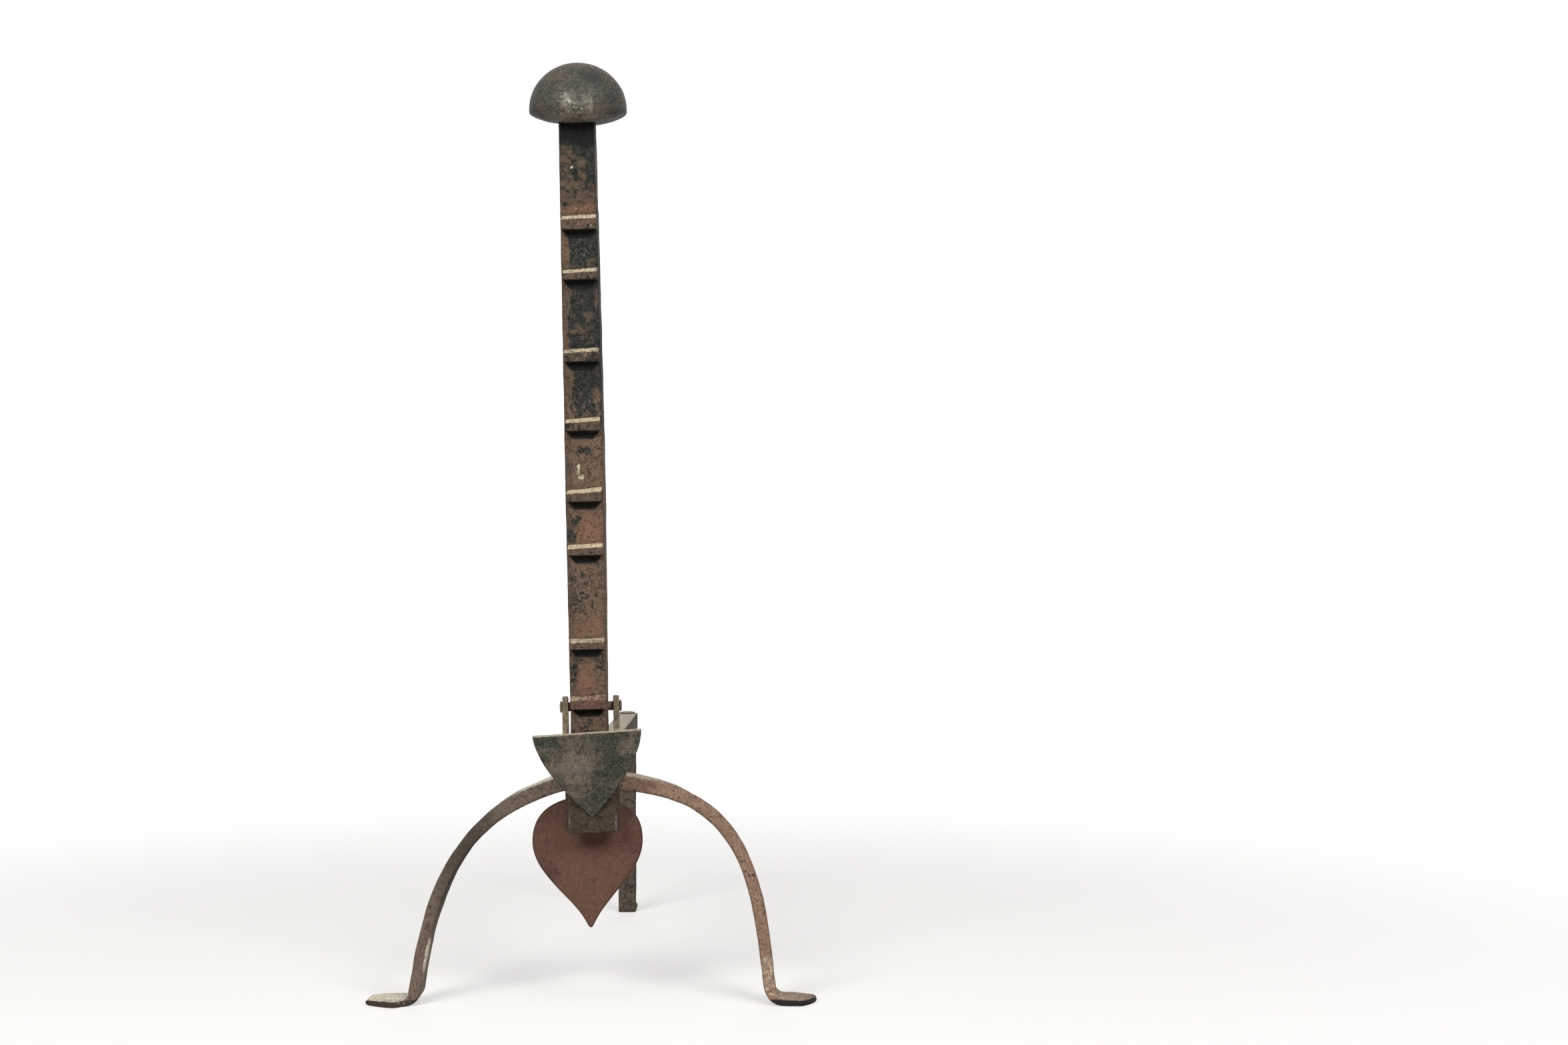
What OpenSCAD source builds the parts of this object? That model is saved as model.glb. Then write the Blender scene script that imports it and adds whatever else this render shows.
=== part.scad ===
// Wrought-iron andiron with a spit hook that slides up and down its shaft.
// +X is to the right, -Y faces the room and +Z is up. The origin is on the hearth, below the middle of the whole
// andiron. Heights are measured from the hearth; depths are measured from the middle of the shaft until the very end,
// where set_on_origin() moves everything back by the same amount.

/* [Shaft] */
// Width of the shaft, seen from the front
shaft_w = 26.5; // [24:0.5:30]
// Depth of the shaft, front to back
shaft_d = 24; // [20:0.5:28]
// Height of the shoulder that the knob sits on
shaft_top = 662; // [640:1:700]
// Height of the shaft's lower end, where the heart is welded on
shaft_foot = 158; // [156:0.5:160]
// Chamfer on the shaft's four long edges
shaft_chamfer = 1; // [0.2:0.1:2]
// Sideways lean of the hand-set shaft, in degrees
shaft_lean = 1.16; // [0:0.02:1.6]
// Height at which the leaning axis crosses the middle of the feet
lean_height = 126; // [100:1:150]

/* [Knob] */
// Greatest radius of the domed knob
knob_r = 37.2; // [32:0.1:42]
// Height of the dome above the knob's widest level
knob_dome = 37; // [28:0.5:44]
// Height of the widest level above the shaft's shoulder
knob_rise = 11; // [9:0.5:16]
// Radius of the rounded lower rim
knob_rim_r = 5.5; // [3:0.5:7]
// Radius of the flat seat under the knob
knob_seat_r = 18.5; // [18:0.5:22]
// Radius of the round tenon inside the knob
knob_tenon_r = 6; // [4:0.5:9]
// Length of the round tenon inside the knob
knob_tenon_h = 16; // [8:1:24]

/* [Ledges] */
// How far each ledge stands out of the shaft's front
ledge_out = 7; // [4:0.5:9]
// Width of each ledge
ledge_w = 26; // [20:0.5:26.5]
// How far a ledge's worn top slopes down to its front
ledge_slope = 3; // [1:0.5:4]
// Radius of a ledge's rounded corners, seen from the front
ledge_corner_r = 2; // [1:0.25:3]
// Height of the middle of ledge 1, the highest
ledge_1_z = 586.5; // [575:0.5:600]
// Height of the middle of ledge 2
ledge_2_z = 548; // [530:0.5:560]
// Height of the middle of ledge 3
ledge_3_z = 487; // [475:0.5:500]
// Height of the middle of ledge 4
ledge_4_z = 436; // [425:0.5:450]
// Height of the middle of ledge 5
ledge_5_z = 382.5; // [370:0.5:395]
// Height of the middle of ledge 6
ledge_6_z = 341; // [330:0.5:352]
// Height of the middle of ledge 7
ledge_7_z = 271.5; // [260:0.5:285]
// Height of the middle of ledge 8, the lowest
ledge_8_z = 227; // [220:0.5:235]

/* [Legs] */
// Depth of the legs' flat bar, front to back
leg_d = 28; // [22:0.5:34]
// Thickness of a leg where it is welded to the shaft
leg_root_t = 12; // [9:0.5:13]
// Thickness of a leg at the ankle
leg_ankle_t = 9; // [7:0.5:11]
// Height of the left leg's centre line at the shaft
left_root_z = 169.5; // [167:0.5:171]
// Height of the right leg's centre line at the shaft
right_root_z = 168.5; // [167:0.5:171]
// Distance between the tips of the two feet
foot_spread = 340; // [320:1:380]
// Length of the left foot beyond its ankle
left_foot_l = 37.4; // [30:0.1:45]
// Length of the right foot beyond its ankle
right_foot_l = 36; // [30:0.1:45]
// Centre-line radius of the bend at each ankle
ankle_bend_r = 8; // [6:0.5:12]
// Thickness of the flattened feet
foot_t = 5; // [4:0.5:8]

/* [Heart] */
// Greatest width of the heart-shaped drop
heart_w = 82.8; // [70:0.2:92]
// Thickness of the heart
heart_t = 10; // [6:0.5:14]
// Height of the heart's point above the hearth
heart_point_z = 57.5; // [50:0.5:70]
// Sideways place of the heart's point
heart_point_x = -0.5; // [-3:0.1:3]
// Distance from the point up to the widest level
heart_widest_h = 65.7; // [55:0.1:72]
// Height of the shoulders above the widest level
heart_shoulder_h = 33; // [28:0.5:33]
// Sideways tilt of the heart, in degrees
heart_tilt = 2.4; // [0:0.1:3]
// Height over which the neck thins from the shaft to the heart
neck_h = 18; // [12:0.5:24]

/* [Billet bar] */
// Width of the bar that carries the logs
billet_w = 18; // [14:0.5:24]
// Height of the bar's section
billet_h = 15.5; // [12:0.5:20]
// Height of the bar's top above the hearth
billet_top_z = 185; // [183:0.5:190]
// Distance from the shaft's middle to the bar's rear end
billet_end_y = 425; // [360:1:480]
// Radius of the tenon that goes through the shaft
billet_tenon_r = 5; // [3:0.25:6]
// Radius of the peened heads of the two tenons
peen_r = 7; // [6.5:0.25:8]
// Height of the peened heads of the two tenons
peen_h = 2.2; // [1:0.1:3]

/* [Rear leg] */
// Width of the rear leg's bar
rear_w = 16; // [12:0.5:18]
// Depth of the rear leg's bar
rear_d = 14; // [10:0.5:16]
// Distance from the bar's rear end to the middle of the rear leg
rear_inset = 11; // [9:0.5:20]
// Length of the rear foot behind the leg
rear_foot_l = 26; // [18:1:40]
// Radius of the tenon that goes up through the bar
rear_tenon_r = 4.5; // [3:0.25:5.5]

/* [Spit hook] */
// Turn of the loose hook about the shaft, in degrees
hook_yaw = 4.7; // [0:0.1:5]
// Sideways place of the loose hook on the shaft
hook_shift = 1.1; // [-1.2:0.1:1.2]
// Thickness of the channel's bent plate
hook_plate = 4; // [3:0.25:4.5]
// Room beside the shaft inside the channel
hook_side_play = 3.15; // [3:0.05:4]
// Height of the channel's lower edge
hook_bottom_z = 131.6; // [126:0.2:138]
// Height of the channel's upper edge
hook_top_z = 197; // [195:0.5:199]
// Radius of the channel's lower corners
hook_corner_r = 3; // [1:0.5:5]
// Depth of the flanges at the lower edge
hook_toe_d = 10; // [6:0.5:12]
// Height over which the flanges widen above the lower edge
hook_toe_h = 22; // [16:0.5:26]
// How far the flanges reach back beyond their lower step
hook_wing_d = 13; // [10:0.5:16]
// How far the catch lip stands in from the channel's front plate
lip_in = 3; // [1.5:0.25:4]
// Height of the catch lip
lip_h = 4; // [2:0.5:6]
// Gap between the catch lip and the ledges, hook hanging straight
ledge_gap = 0.5; // [0.3:0.1:2]
// Gap between the hook and the legs that stop it
rest_gap = 0.3; // [0.2:0.05:0.6]

/* [Shield] */
// Width of the shield along its top
shield_w = 79.4; // [66:0.2:90]
// Length of the shield from point to top, along the plate
shield_l = 70; // [60:0.5:74]
// Thickness of the shield
shield_t = 4; // [2.5:0.25:6]
// Forward lean of the shield, in degrees
shield_lean = 22; // [15:1:30]
// Sideways roll of the shield, in degrees
shield_roll = 2.6; // [0:0.1:4]
// Height of the shield's point above the hearth
shield_point_z = 144; // [140:0.5:148]
// Length of the shield that is welded down on the channel
shield_weld = 9; // [6:0.5:12]
// Fullness of the shield's bowed sides
shield_belly = 1.65; // [1.3:0.05:2.2]

/* [Stirrup] */
// Radius of the cross pin behind the shaft
pin_r = 3.5; // [2.5:0.1:4.5]
// Height of the cross pin, hook at its lowest
pin_z = 222.8; // [220:0.2:226]
// Gap between the cross pin and the back of the shaft
pin_gap = 2.6; // [1:0.1:4]
// Radial clearance of the links on the pin
pin_fit = 0.05; // [0.02:0.01:0.09]
// Radius of the pin's peened ends
pin_head_r = 4.6; // [4.6:0.1:6]
// Height of the pin's peened ends
pin_head_h = 1.6; // [0.8:0.1:2.5]
// Gap between a peened end and its link
pin_head_gap = 0.3; // [0.2:0.05:0.5]
// Radius of the round eye at the top of each link
link_eye_r = 8.2; // [7:0.1:9.5]
// Radius of the round lower end of each link
link_lap_r = 6.5; // [5:0.25:7]
// Thickness of the links
link_t = 5; // [3.5:0.25:6]
// Thickness of the links' scarfed lower tips
link_tip_t = 2; // [1:0.25:3]
// Half the distance between the links
link_in = 16.8; // [16.4:0.1:18]
// Height over which each link cranks in above the channel
joggle_h = 5; // [4:0.5:6]

/* [Hidden] */
$fn = 64;
eps = 0.01;
cut = 60;                   // reach of cutting blocks past what they cut
curve_steps = 26;           // stretches of a leg's curve
bend_steps = 6;             // stretches of a small bend
end_steps = 20;             // stretches of a strap's round end
outline_steps = 28;         // stretches of the heart's, the shield's and the knob's curves
tenon_fit = 0.05;           // radial clearance of a tenon in its hole

// Heights of the ledges' faces, from the highest ledge to the lowest, as the hammer left them
ledge_z = [ledge_1_z, ledge_2_z, ledge_3_z, ledge_4_z, ledge_5_z, ledge_6_z, ledge_7_z, ledge_8_z];
ledge_h = [11.5, 9, 10.5, 10, 10, 9, 8.5, 10.5];

// Curves of the two legs: how far inside the ankle and how high the two handles of each curve lie
left_handles = [[34.6, 149], [11.6, 90]];
right_handles = [[17, 162], [9, 96]];
leg_root_x = 12;            // start of the legs' centre lines, inside the shaft's side
foot_tip_t = 4;             // thickness at the very tip of a foot
joggle_gap = 1;             // height of a link's crank above the channel
lap_margin = 2;             // height of a link's round lower end above the flange's step

// Shapes of the heart's curves
heart_shoulder_power = 2.3;
heart_taper_power = 1.4;

// Places that follow from the sizes above
half_w = shaft_w / 2;
half_d = shaft_d / 2;
hook_in = half_w + hook_side_play;
hook_out = hook_in + hook_plate;
ledge_reach = (half_d + ledge_out) * cos(hook_yaw) + (ledge_w / 2 - hook_shift) * sin(hook_yaw);
lip_y = -(ledge_reach + ledge_gap);
web_in_y = lip_y - lip_in;
web_front_y = web_in_y - hook_plate;
heel_y = -(half_d + rest_gap + (hook_out + hook_shift) * sin(hook_yaw)) / cos(hook_yaw);
wing_y = heel_y + hook_wing_d;
foot_tip_x = foot_spread / 2;
left_ankle_x = foot_tip_x - left_foot_l;
right_ankle_x = foot_tip_x - right_foot_l;
left_slope = atan((left_root_z - left_handles[0].y) / (left_ankle_x - left_handles[0].x - leg_root_x));
right_slope = atan((right_root_z - right_handles[0].y) / (right_ankle_x - right_handles[0].x - leg_root_x));
hook_seat_x = hook_in - abs(hook_shift) - hook_wing_d * sin(hook_yaw);
left_leg_top = left_root_z - (hook_seat_x - leg_root_x) * tan(left_slope) + leg_root_t / 2 / cos(left_slope);
right_leg_top = right_root_z - (hook_seat_x - leg_root_x) * tan(right_slope) + leg_root_t / 2 / cos(right_slope);
step_z = max(left_leg_top, right_leg_top) + hook_out * sin(shaft_lean) + rest_gap;
heel_top_z = hook_bottom_z + hook_toe_h;
pin_y = half_d * cos(hook_yaw) + (half_w + hook_shift) * sin(hook_yaw) + pin_gap + pin_r;
lap_y = wing_y - link_lap_r;
lap_z = step_z + link_lap_r + lap_margin;
link_out = link_in + link_t;
joggle_low_z = hook_top_z + joggle_gap;
joggle_top_z = joggle_low_z + joggle_h;
billet_z = billet_top_z - billet_h / 2;
billet_x = -(billet_z - lean_height) * tan(shaft_lean);
rear_y = billet_end_y - rear_inset;
knob_top = shaft_top + knob_rise + knob_dome;

// The shield's corner that reaches furthest to the front, and the rear foot's end, give the middle of the depth
function shield_corner_y(side) =
    let (u = side * shield_w / 2 * cos(shield_roll) - shield_l * sin(shield_roll))
    let (v = side * shield_w / 2 * sin(shield_roll) + shield_l * cos(shield_roll))
    let (y = web_front_y - (v - shield_weld) * sin(shield_lean) - shield_t * cos(shield_lean))
    u * sin(hook_yaw) + y * cos(hook_yaw);
front_y = min(shield_corner_y(-1), shield_corner_y(1));
rear_end_y = rear_y + rear_d / 2 + rear_foot_l;
middle_y = (front_y + rear_end_y) / 2;

// ---- frames -------------------------------------------------------------------------------------------------

// Moves a piece from the shaft's middle to the frame whose origin is below the middle of the whole andiron
module set_on_origin() {
    translate([0, -middle_y, 0])
        children();
}

// Leans a piece with the shaft
module along_shaft() {
    translate([0, 0, lean_height])
        rotate([0, -shaft_lean, 0])
            translate([0, 0, -lean_height])
                children();
}

// Sets a piece of the spit hook askew on the shaft, as far as its play lets it hang
module on_hook() {
    along_shaft()
        translate([hook_shift, 0, 0])
            rotate([0, 0, hook_yaw])
                children();
}

// ---- shapes -------------------------------------------------------------------------------------------------

// A bar's section with its four corners cut off
module chamfered_section(w, d, chamfer) {
    x = w / 2;
    y = d / 2;
    c = chamfer;
    polygon([[-x + c, -y], [x - c, -y], [x, -y + c], [x, y - c], [x - c, y], [-x + c, y], [-x, y - c], [-x, -y + c]]);
}

// A rectangle with round corners
module rounded_rectangle(w, h, r) {
    square([w - 2 * r, h], center = true);
    square([w, h - 2 * r], center = true);
    for (x = [-1, 1], y = [-1, 1])
        translate([x * (w / 2 - r), y * (h / 2 - r)])
            circle(r);
}

// Extrudes a side view, drawn with depth across and height up, across the width from x0 to x1
module across_width(x0, x1) {
    translate([x0, 0, 0])
        rotate([90, 0, 90])
            linear_extrude(height = x1 - x0)
                children();
}

// Extrudes a front view, drawn with width across and height up, from depth y0 back to y1
module across_depth(y0, y1) {
    translate([0, y1, 0])
        rotate([90, 0, 0])
            linear_extrude(height = y1 - y0)
                children();
}

// The peened end of a tenon: a low dome on a round base at the origin, rising along +Z
module peened_head(r, h) {
    base_h = h * 0.35;
    rotate_extrude()
        polygon(concat([[0, 0], [r, 0]],
                       [for (i = [0:8]) let (a = 90 * i / 8) [r * cos(a), base_h + (h - base_h) * sin(a)]]));
}

// A strap's side view: one outline round both of its round ends
module strap(p, p_r, q, q_r) {
    dir = atan2(q.y - p.y, q.x - p.x);
    side = acos((p_r - q_r) / norm(q - p));
    polygon(concat(
        [for (i = [0:end_steps]) let (a = dir + side + (360 - 2 * side) * i / end_steps) p + p_r * [cos(a), sin(a)]],
        [for (i = [0:end_steps]) let (a = dir - side + 2 * side * i / end_steps) q + q_r * [cos(a), sin(a)]]));
}

// ---- shaft and knob -----------------------------------------------------------------------------------------

module shaft() {
    color([0.24, 0.21, 0.18])
        set_on_origin()
            difference() {
                along_shaft() {
                    translate([0, 0, shaft_foot])
                        linear_extrude(height = shaft_top - shaft_foot)
                            chamfered_section(shaft_w, shaft_d, shaft_chamfer);
                    translate([0, 0, shaft_top - eps])
                        cylinder(r = knob_tenon_r, h = knob_tenon_h);
                }
                translate([billet_x, 0, billet_z])
                    rotate([90, 0, 0])
                        cylinder(r = billet_tenon_r + tenon_fit, h = 2 * cut, center = true);
            }
}

module knob() {
    widest = knob_rise;
    dome = [for (i = [0:outline_steps]) let (a = 90 - 90 * i / outline_steps)
            [knob_r * cos(a), widest + knob_dome * sin(a)]];
    rim = [for (i = [1:8]) let (a = -80 * i / 8)
           [knob_r - knob_rim_r + knob_rim_r * cos(a), widest + knob_rim_r * sin(a)]];
    color([0.22, 0.22, 0.2])
        set_on_origin()
            along_shaft()
                translate([0, 0, shaft_top])
                    difference() {
                        rotate_extrude($fn = 96)
                            polygon(concat(dome, rim, [[knob_seat_r, 0], [0, 0]]));
                        translate([0, 0, -eps])
                            cylinder(r = knob_tenon_r + tenon_fit, h = knob_tenon_h + 1);
                    }
}

// One ledge, welded on the shaft's front; i counts from 0 at the top
module ledge(i) {
    h = ledge_h[i];
    nose = ledge_slope / 3;
    color([0.34, 0.26, 0.2])
        set_on_origin()
            along_shaft()
                translate([0, -half_d, ledge_z[i]])
                    intersection() {
                        across_depth(-ledge_out, 0)
                            rounded_rectangle(ledge_w, h, ledge_corner_r);
                        across_width(-ledge_w, ledge_w)
                            polygon([[0, -h / 2], [-ledge_out, -h / 2], [-ledge_out, h / 2 - ledge_slope],
                                     [-ledge_out + nose, h / 2 - ledge_slope + nose], [0, h / 2]]);
                    }
}

// ---- legs ---------------------------------------------------------------------------------------------------

function bezier(p, t) = pow(1 - t, 3) * p[0] + 3 * pow(1 - t, 2) * t * p[1] + 3 * (1 - t) * t * t * p[2]
                        + pow(t, 3) * p[3];
function bezier_way(p, t) =
    let (d = pow(1 - t, 2) * (p[1] - p[0]) + 2 * (1 - t) * t * (p[2] - p[1]) + t * t * (p[3] - p[2]))
    d / norm(d);

// A leg's front view to the right of the shaft: its curve, the ankle bend and the foot. Each station of the centre line
// is [point, direction, thickness], and the outline runs down one side of the bar and back up the other.
module leg_front_view(root_z, handles, ankle_x) {
    ankle_lean = atan(handles[1].x / handles[1].y);
    ankle_z = foot_t / 2 + ankle_bend_r * (1 - sin(ankle_lean));
    p = [[leg_root_x, root_z], [ankle_x - handles[0].x, handles[0].y], [ankle_x - handles[1].x, handles[1].y],
         [ankle_x, ankle_z]];
    centre = p[3] + ankle_bend_r * [cos(ankle_lean), sin(ankle_lean)];
    curve = [for (i = [0:curve_steps]) let (t = i / curve_steps)
             [bezier(p, t), bezier_way(p, t), leg_root_t + (leg_ankle_t - leg_root_t) * t]];
    bend = [for (i = [1:bend_steps]) let (s = i / bend_steps, a = ankle_lean + (90 - ankle_lean) * s)
            [centre - ankle_bend_r * [cos(a), sin(a)], [sin(a), -cos(a)], leg_ankle_t + (foot_t - leg_ankle_t) * s]];
    tip = [[[foot_tip_x, foot_tip_t / 2], [1, 0], foot_tip_t]];
    stations = concat(curve, bend, tip);
    last = len(stations) - 1;
    polygon(concat(
        [for (s = stations) s[0] + s[2] / 2 * [s[1].y, -s[1].x]],
        [for (i = [0:last]) let (s = stations[last - i]) s[0] - s[2] / 2 * [s[1].y, -s[1].x]]));
}

// A leg runs into the shaft's side, where the weld is, and is cut off there and at the hearth
module leg(root_z, handles, ankle_x, side) {
    color([0.38, 0.32, 0.26])
        set_on_origin()
            difference() {
                mirror([side < 0 ? 1 : 0, 0, 0])
                    across_depth(-half_d, leg_d - half_d)
                        leg_front_view(root_z, handles, ankle_x);
                along_shaft()
                    translate([-half_w - (side < 0 ? 0 : cut), -cut, shaft_foot - cut])
                        cube([shaft_w + cut, 2 * cut, 2 * cut]);
                translate([-2 * foot_tip_x, -cut, -cut])
                    cube([4 * foot_tip_x, 2 * cut, cut]);
            }
}

module left_leg() {
    leg(left_root_z, left_handles, left_ankle_x, -1);
}

module right_leg() {
    leg(right_root_z, right_handles, right_ankle_x, 1);
}

// ---- heart --------------------------------------------------------------------------------------------------

// Half the heart's width at a height above its point: a cosine taper below the widest level, a round shoulder above
function heart_half(h) =
    h < heart_widest_h
    ? heart_w / 2 * pow(cos(90 * (1 - h / heart_widest_h)), heart_taper_power)
    : heart_w / 2 * pow(1 - pow((h - heart_widest_h) / heart_shoulder_h, heart_shoulder_power),
                        1 / heart_shoulder_power);

module heart_front_view() {
    total = heart_widest_h + heart_shoulder_h;
    heights = [for (i = [0:2 * outline_steps]) total * (1 - cos(180 * i / (2 * outline_steps))) / 2];
    last = len(heights) - 1;
    polygon(concat([for (h = heights) [heart_half(h), h]],
                   [for (i = [1:last - 1]) let (h = heights[last - i]) [-heart_half(h), h]]));
}

module heart_drop() {
    color([0.36, 0.25, 0.21])
        set_on_origin()
            union() {
                translate([heart_point_x, 0, heart_point_z])
                    rotate([0, -heart_tilt, 0])
                        across_depth(-heart_t / 2, heart_t / 2)
                            heart_front_view();
                along_shaft()
                    across_width(-half_w, half_w)
                        polygon([[-half_d, shaft_foot], [-heart_t / 2, shaft_foot - neck_h],
                                 [heart_t / 2, shaft_foot - neck_h], [half_d, shaft_foot]]);
            }
}

// ---- billet bar and rear leg --------------------------------------------------------------------------------

module billet_bar() {
    color([0.33, 0.28, 0.24])
        set_on_origin()
            difference() {
                union() {
                    translate([billet_x, billet_end_y, billet_z])
                        rotate([90, 0, 0])
                            linear_extrude(height = billet_end_y - half_d)
                                chamfered_section(billet_w, billet_h, shaft_chamfer);
                    translate([billet_x, half_d + eps, billet_z])
                        rotate([90, 0, 0]) {
                            cylinder(r = billet_tenon_r, h = shaft_d + 2 * eps);
                            translate([0, 0, shaft_d + eps])
                                peened_head(peen_r, peen_h);
                        }
                }
                translate([billet_x, rear_y, billet_z])
                    cylinder(r = rear_tenon_r + tenon_fit, h = cut, center = true);
            }
}

module rear_leg() {
    top = billet_top_z - billet_h;
    front = rear_y - rear_d / 2;
    back = rear_y + rear_d / 2;
    color([0.35, 0.29, 0.24])
        set_on_origin()
            union() {
                across_width(billet_x - rear_w / 2, billet_x + rear_w / 2)
                    polygon(concat(
                        [[front, top], [front, foot_t]],
                        [for (i = [1:bend_steps]) let (a = 90 * i / bend_steps)
                         [front + foot_t * (1 - cos(a)), foot_t * (1 - sin(a))]],
                        [[back + rear_foot_l, 0], [back + rear_foot_l, foot_tip_t]],
                        [for (i = [0:bend_steps]) let (a = 90 * i / bend_steps)
                         [back + foot_t * (1 - sin(a)), foot_t + foot_t * (1 - cos(a))]],
                        [[back, top]]));
                translate([billet_x, rear_y, top - eps]) {
                    cylinder(r = rear_tenon_r, h = billet_h + 2 * eps);
                    translate([0, 0, billet_h + eps])
                        peened_head(peen_r, peen_h);
                }
            }
}

// ---- stirrup ------------------------------------------------------------------------------------------------

module cross_pin() {
    end = link_out + pin_head_gap;
    color([0.3, 0.25, 0.2])
        set_on_origin()
            on_hook()
                translate([0, pin_y, pin_z])
                    rotate([0, 90, 0])
                        union() {
                            cylinder(r = pin_r, h = 2 * end + eps, center = true);
                            for (side = [0, 1])
                                mirror([0, 0, side])
                                    translate([0, 0, end])
                                        peened_head(pin_head_r, pin_head_h);
                        }
}

// One link, drawn to the right of the shaft: an eye on the cross pin, a joggle, and a scarfed lap on the channel
module link(side) {
    top = pin_z + link_eye_r + 1;
    low = lap_z - link_lap_r - 1;
    color([0.4, 0.36, 0.3])
        set_on_origin()
            on_hook()
                mirror([side < 0 ? 1 : 0, 0, 0])
                    difference() {
                        intersection() {
                            across_width(0, cut)
                                strap([pin_y, pin_z], link_eye_r, [lap_y, lap_z], link_lap_r);
                            across_depth(-cut, cut)
                                polygon([[link_in, top], [link_out, top], [link_out, joggle_top_z],
                                         [hook_out + link_t, joggle_low_z], [hook_out + link_t, lap_z],
                                         [hook_out + link_tip_t, low], [hook_out, low], [hook_out, joggle_low_z],
                                         [link_in, joggle_top_z]]);
                        }
                        translate([0, pin_y, pin_z])
                            rotate([0, 90, 0])
                                cylinder(r = pin_r + pin_fit, h = cut);
                    }
}

module left_link() {
    link(-1);
}

module right_link() {
    link(1);
}

// ---- spit hook ----------------------------------------------------------------------------------------------

module hook_front_view() {
    x = hook_out;
    r = hook_corner_r;
    polygon(concat(
        [[-x, hook_top_z]],
        [for (i = [0:bend_steps]) let (a = 90 * i / bend_steps)
         [-x + r * (1 - cos(a)), hook_bottom_z + r * (1 - sin(a))]],
        [for (i = [0:bend_steps]) let (a = 90 * i / bend_steps)
         [x - r * (1 - sin(a)), hook_bottom_z + r * (1 - cos(a))]],
        [[x, hook_top_z]]));
}

// The channel's side view: its front plate, the flanges that stop against the legs' fronts below the step, and the
// wings that stand on the legs above it
module hook_side_view() {
    polygon([[web_front_y, hook_bottom_z], [web_front_y + hook_toe_d, hook_bottom_z], [heel_y, heel_top_z],
             [heel_y, step_z], [wing_y, step_z], [wing_y, hook_top_z - lip_h], [wing_y - lip_h, hook_top_z],
             [web_front_y, hook_top_z]]);
}

module hook_channel() {
    color([0.3, 0.24, 0.2])
        set_on_origin()
            on_hook()
                difference() {
                    intersection() {
                        across_depth(-cut, cut)
                            hook_front_view();
                        across_width(-cut, cut)
                            hook_side_view();
                    }
                    across_width(-hook_in, hook_in)
                        polygon([[web_in_y, hook_bottom_z - 1], [web_in_y, hook_top_z - lip_h],
                                 [lip_y, hook_top_z - lip_h], [lip_y, hook_top_z + 1],
                                 [cut, hook_top_z + 1], [cut, hook_bottom_z - 1]]);
                }
}

// Half the shield's width at a height above its point
function shield_half(v) = shield_w / 2 * (1 - pow(1 - v / shield_l, shield_belly));

module shield_front_view() {
    heights = [for (i = [0:outline_steps]) shield_l * pow(i / outline_steps, 1.3)];
    polygon(concat([for (v = heights) [shield_half(v), v]],
                   [for (i = [0:outline_steps - 1]) let (v = heights[outline_steps - i]) [-shield_half(v), v]]));
}

// The plate leans forward over the channel, and its point is drawn down thin where it is welded on
module shield() {
    color([0.28, 0.27, 0.23])
        set_on_origin()
            on_hook()
                difference() {
                    translate([0, web_front_y, shield_point_z + shield_weld])
                        rotate([shield_lean, 0, 0])
                            translate([0, 0, -shield_weld])
                                rotate([0, -shield_roll, 0])
                                    across_depth(-shield_t, 0)
                                        shield_front_view();
                    translate([-cut, web_front_y, shield_point_z - cut])
                        cube([2 * cut, cut, 3 * cut]);
                }
}

// ---- nodes --------------------------------------------------------------------------------------------------

shaft();
knob();
ledge(0);  // ledge_1
ledge(1);  // ledge_2
ledge(2);  // ledge_3
ledge(3);  // ledge_4
ledge(4);  // ledge_5
ledge(5);  // ledge_6
ledge(6);  // ledge_7
ledge(7);  // ledge_8
left_leg();
right_leg();
heart_drop();
billet_bar();
rear_leg();
cross_pin();
left_link();
right_link();
hook_channel();
shield();
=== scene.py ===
"""Forged look of an andiron with a sliding spit hook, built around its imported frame.

Sizes are in millimetres and angles in degrees unless a name says otherwise. Pieces are drawn as the part's
source draws them: +X to the right, -Y towards the room, +Z up, with depths measured from the middle of the
shaft. Placement then leans them with the shaft and moves them back to the frame's own origin.
"""

import logging
import math
from dataclasses import dataclass
from enum import Enum
from itertools import product
from typing import Any, Callable

import bpy
import numpy as np
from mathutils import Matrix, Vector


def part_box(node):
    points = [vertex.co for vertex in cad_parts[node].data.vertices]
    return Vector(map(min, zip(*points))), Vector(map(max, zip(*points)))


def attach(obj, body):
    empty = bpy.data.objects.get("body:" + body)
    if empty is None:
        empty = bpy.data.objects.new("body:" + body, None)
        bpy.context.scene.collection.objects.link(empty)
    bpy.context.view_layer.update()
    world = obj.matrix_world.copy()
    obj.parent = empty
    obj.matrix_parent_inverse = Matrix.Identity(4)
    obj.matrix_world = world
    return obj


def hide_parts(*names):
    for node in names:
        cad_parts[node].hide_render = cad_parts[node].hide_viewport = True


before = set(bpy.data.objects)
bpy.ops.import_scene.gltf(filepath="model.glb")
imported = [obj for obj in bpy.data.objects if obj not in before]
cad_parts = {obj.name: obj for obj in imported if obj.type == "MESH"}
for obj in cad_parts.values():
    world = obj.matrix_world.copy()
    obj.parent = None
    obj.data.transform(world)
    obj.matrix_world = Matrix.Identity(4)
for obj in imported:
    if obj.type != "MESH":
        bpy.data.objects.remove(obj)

LOG = logging.getLogger("andiron")
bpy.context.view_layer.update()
METRES = 0.001
ALONG_X, ALONG_Y, ALONG_Z = np.eye(3)

Array = np.ndarray
Marks = dict[str, Array]
Paint = Callable[[Array, Array], Marks]
# Two numbers: a place in a plane, two sizes, or where a mark is nothing and where it is full
Pair = tuple[float, float]
# A round stain: its middle, its reach along each axis, and how strong it is
Stain = tuple[tuple[float, ...], tuple[float, ...], float]

# ---- noise ---------------------------------------------------------------------------------------

ROUGH_GAIN = 1.4  # brings the sum of rough noise's layers back to about -1 to 1


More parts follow.
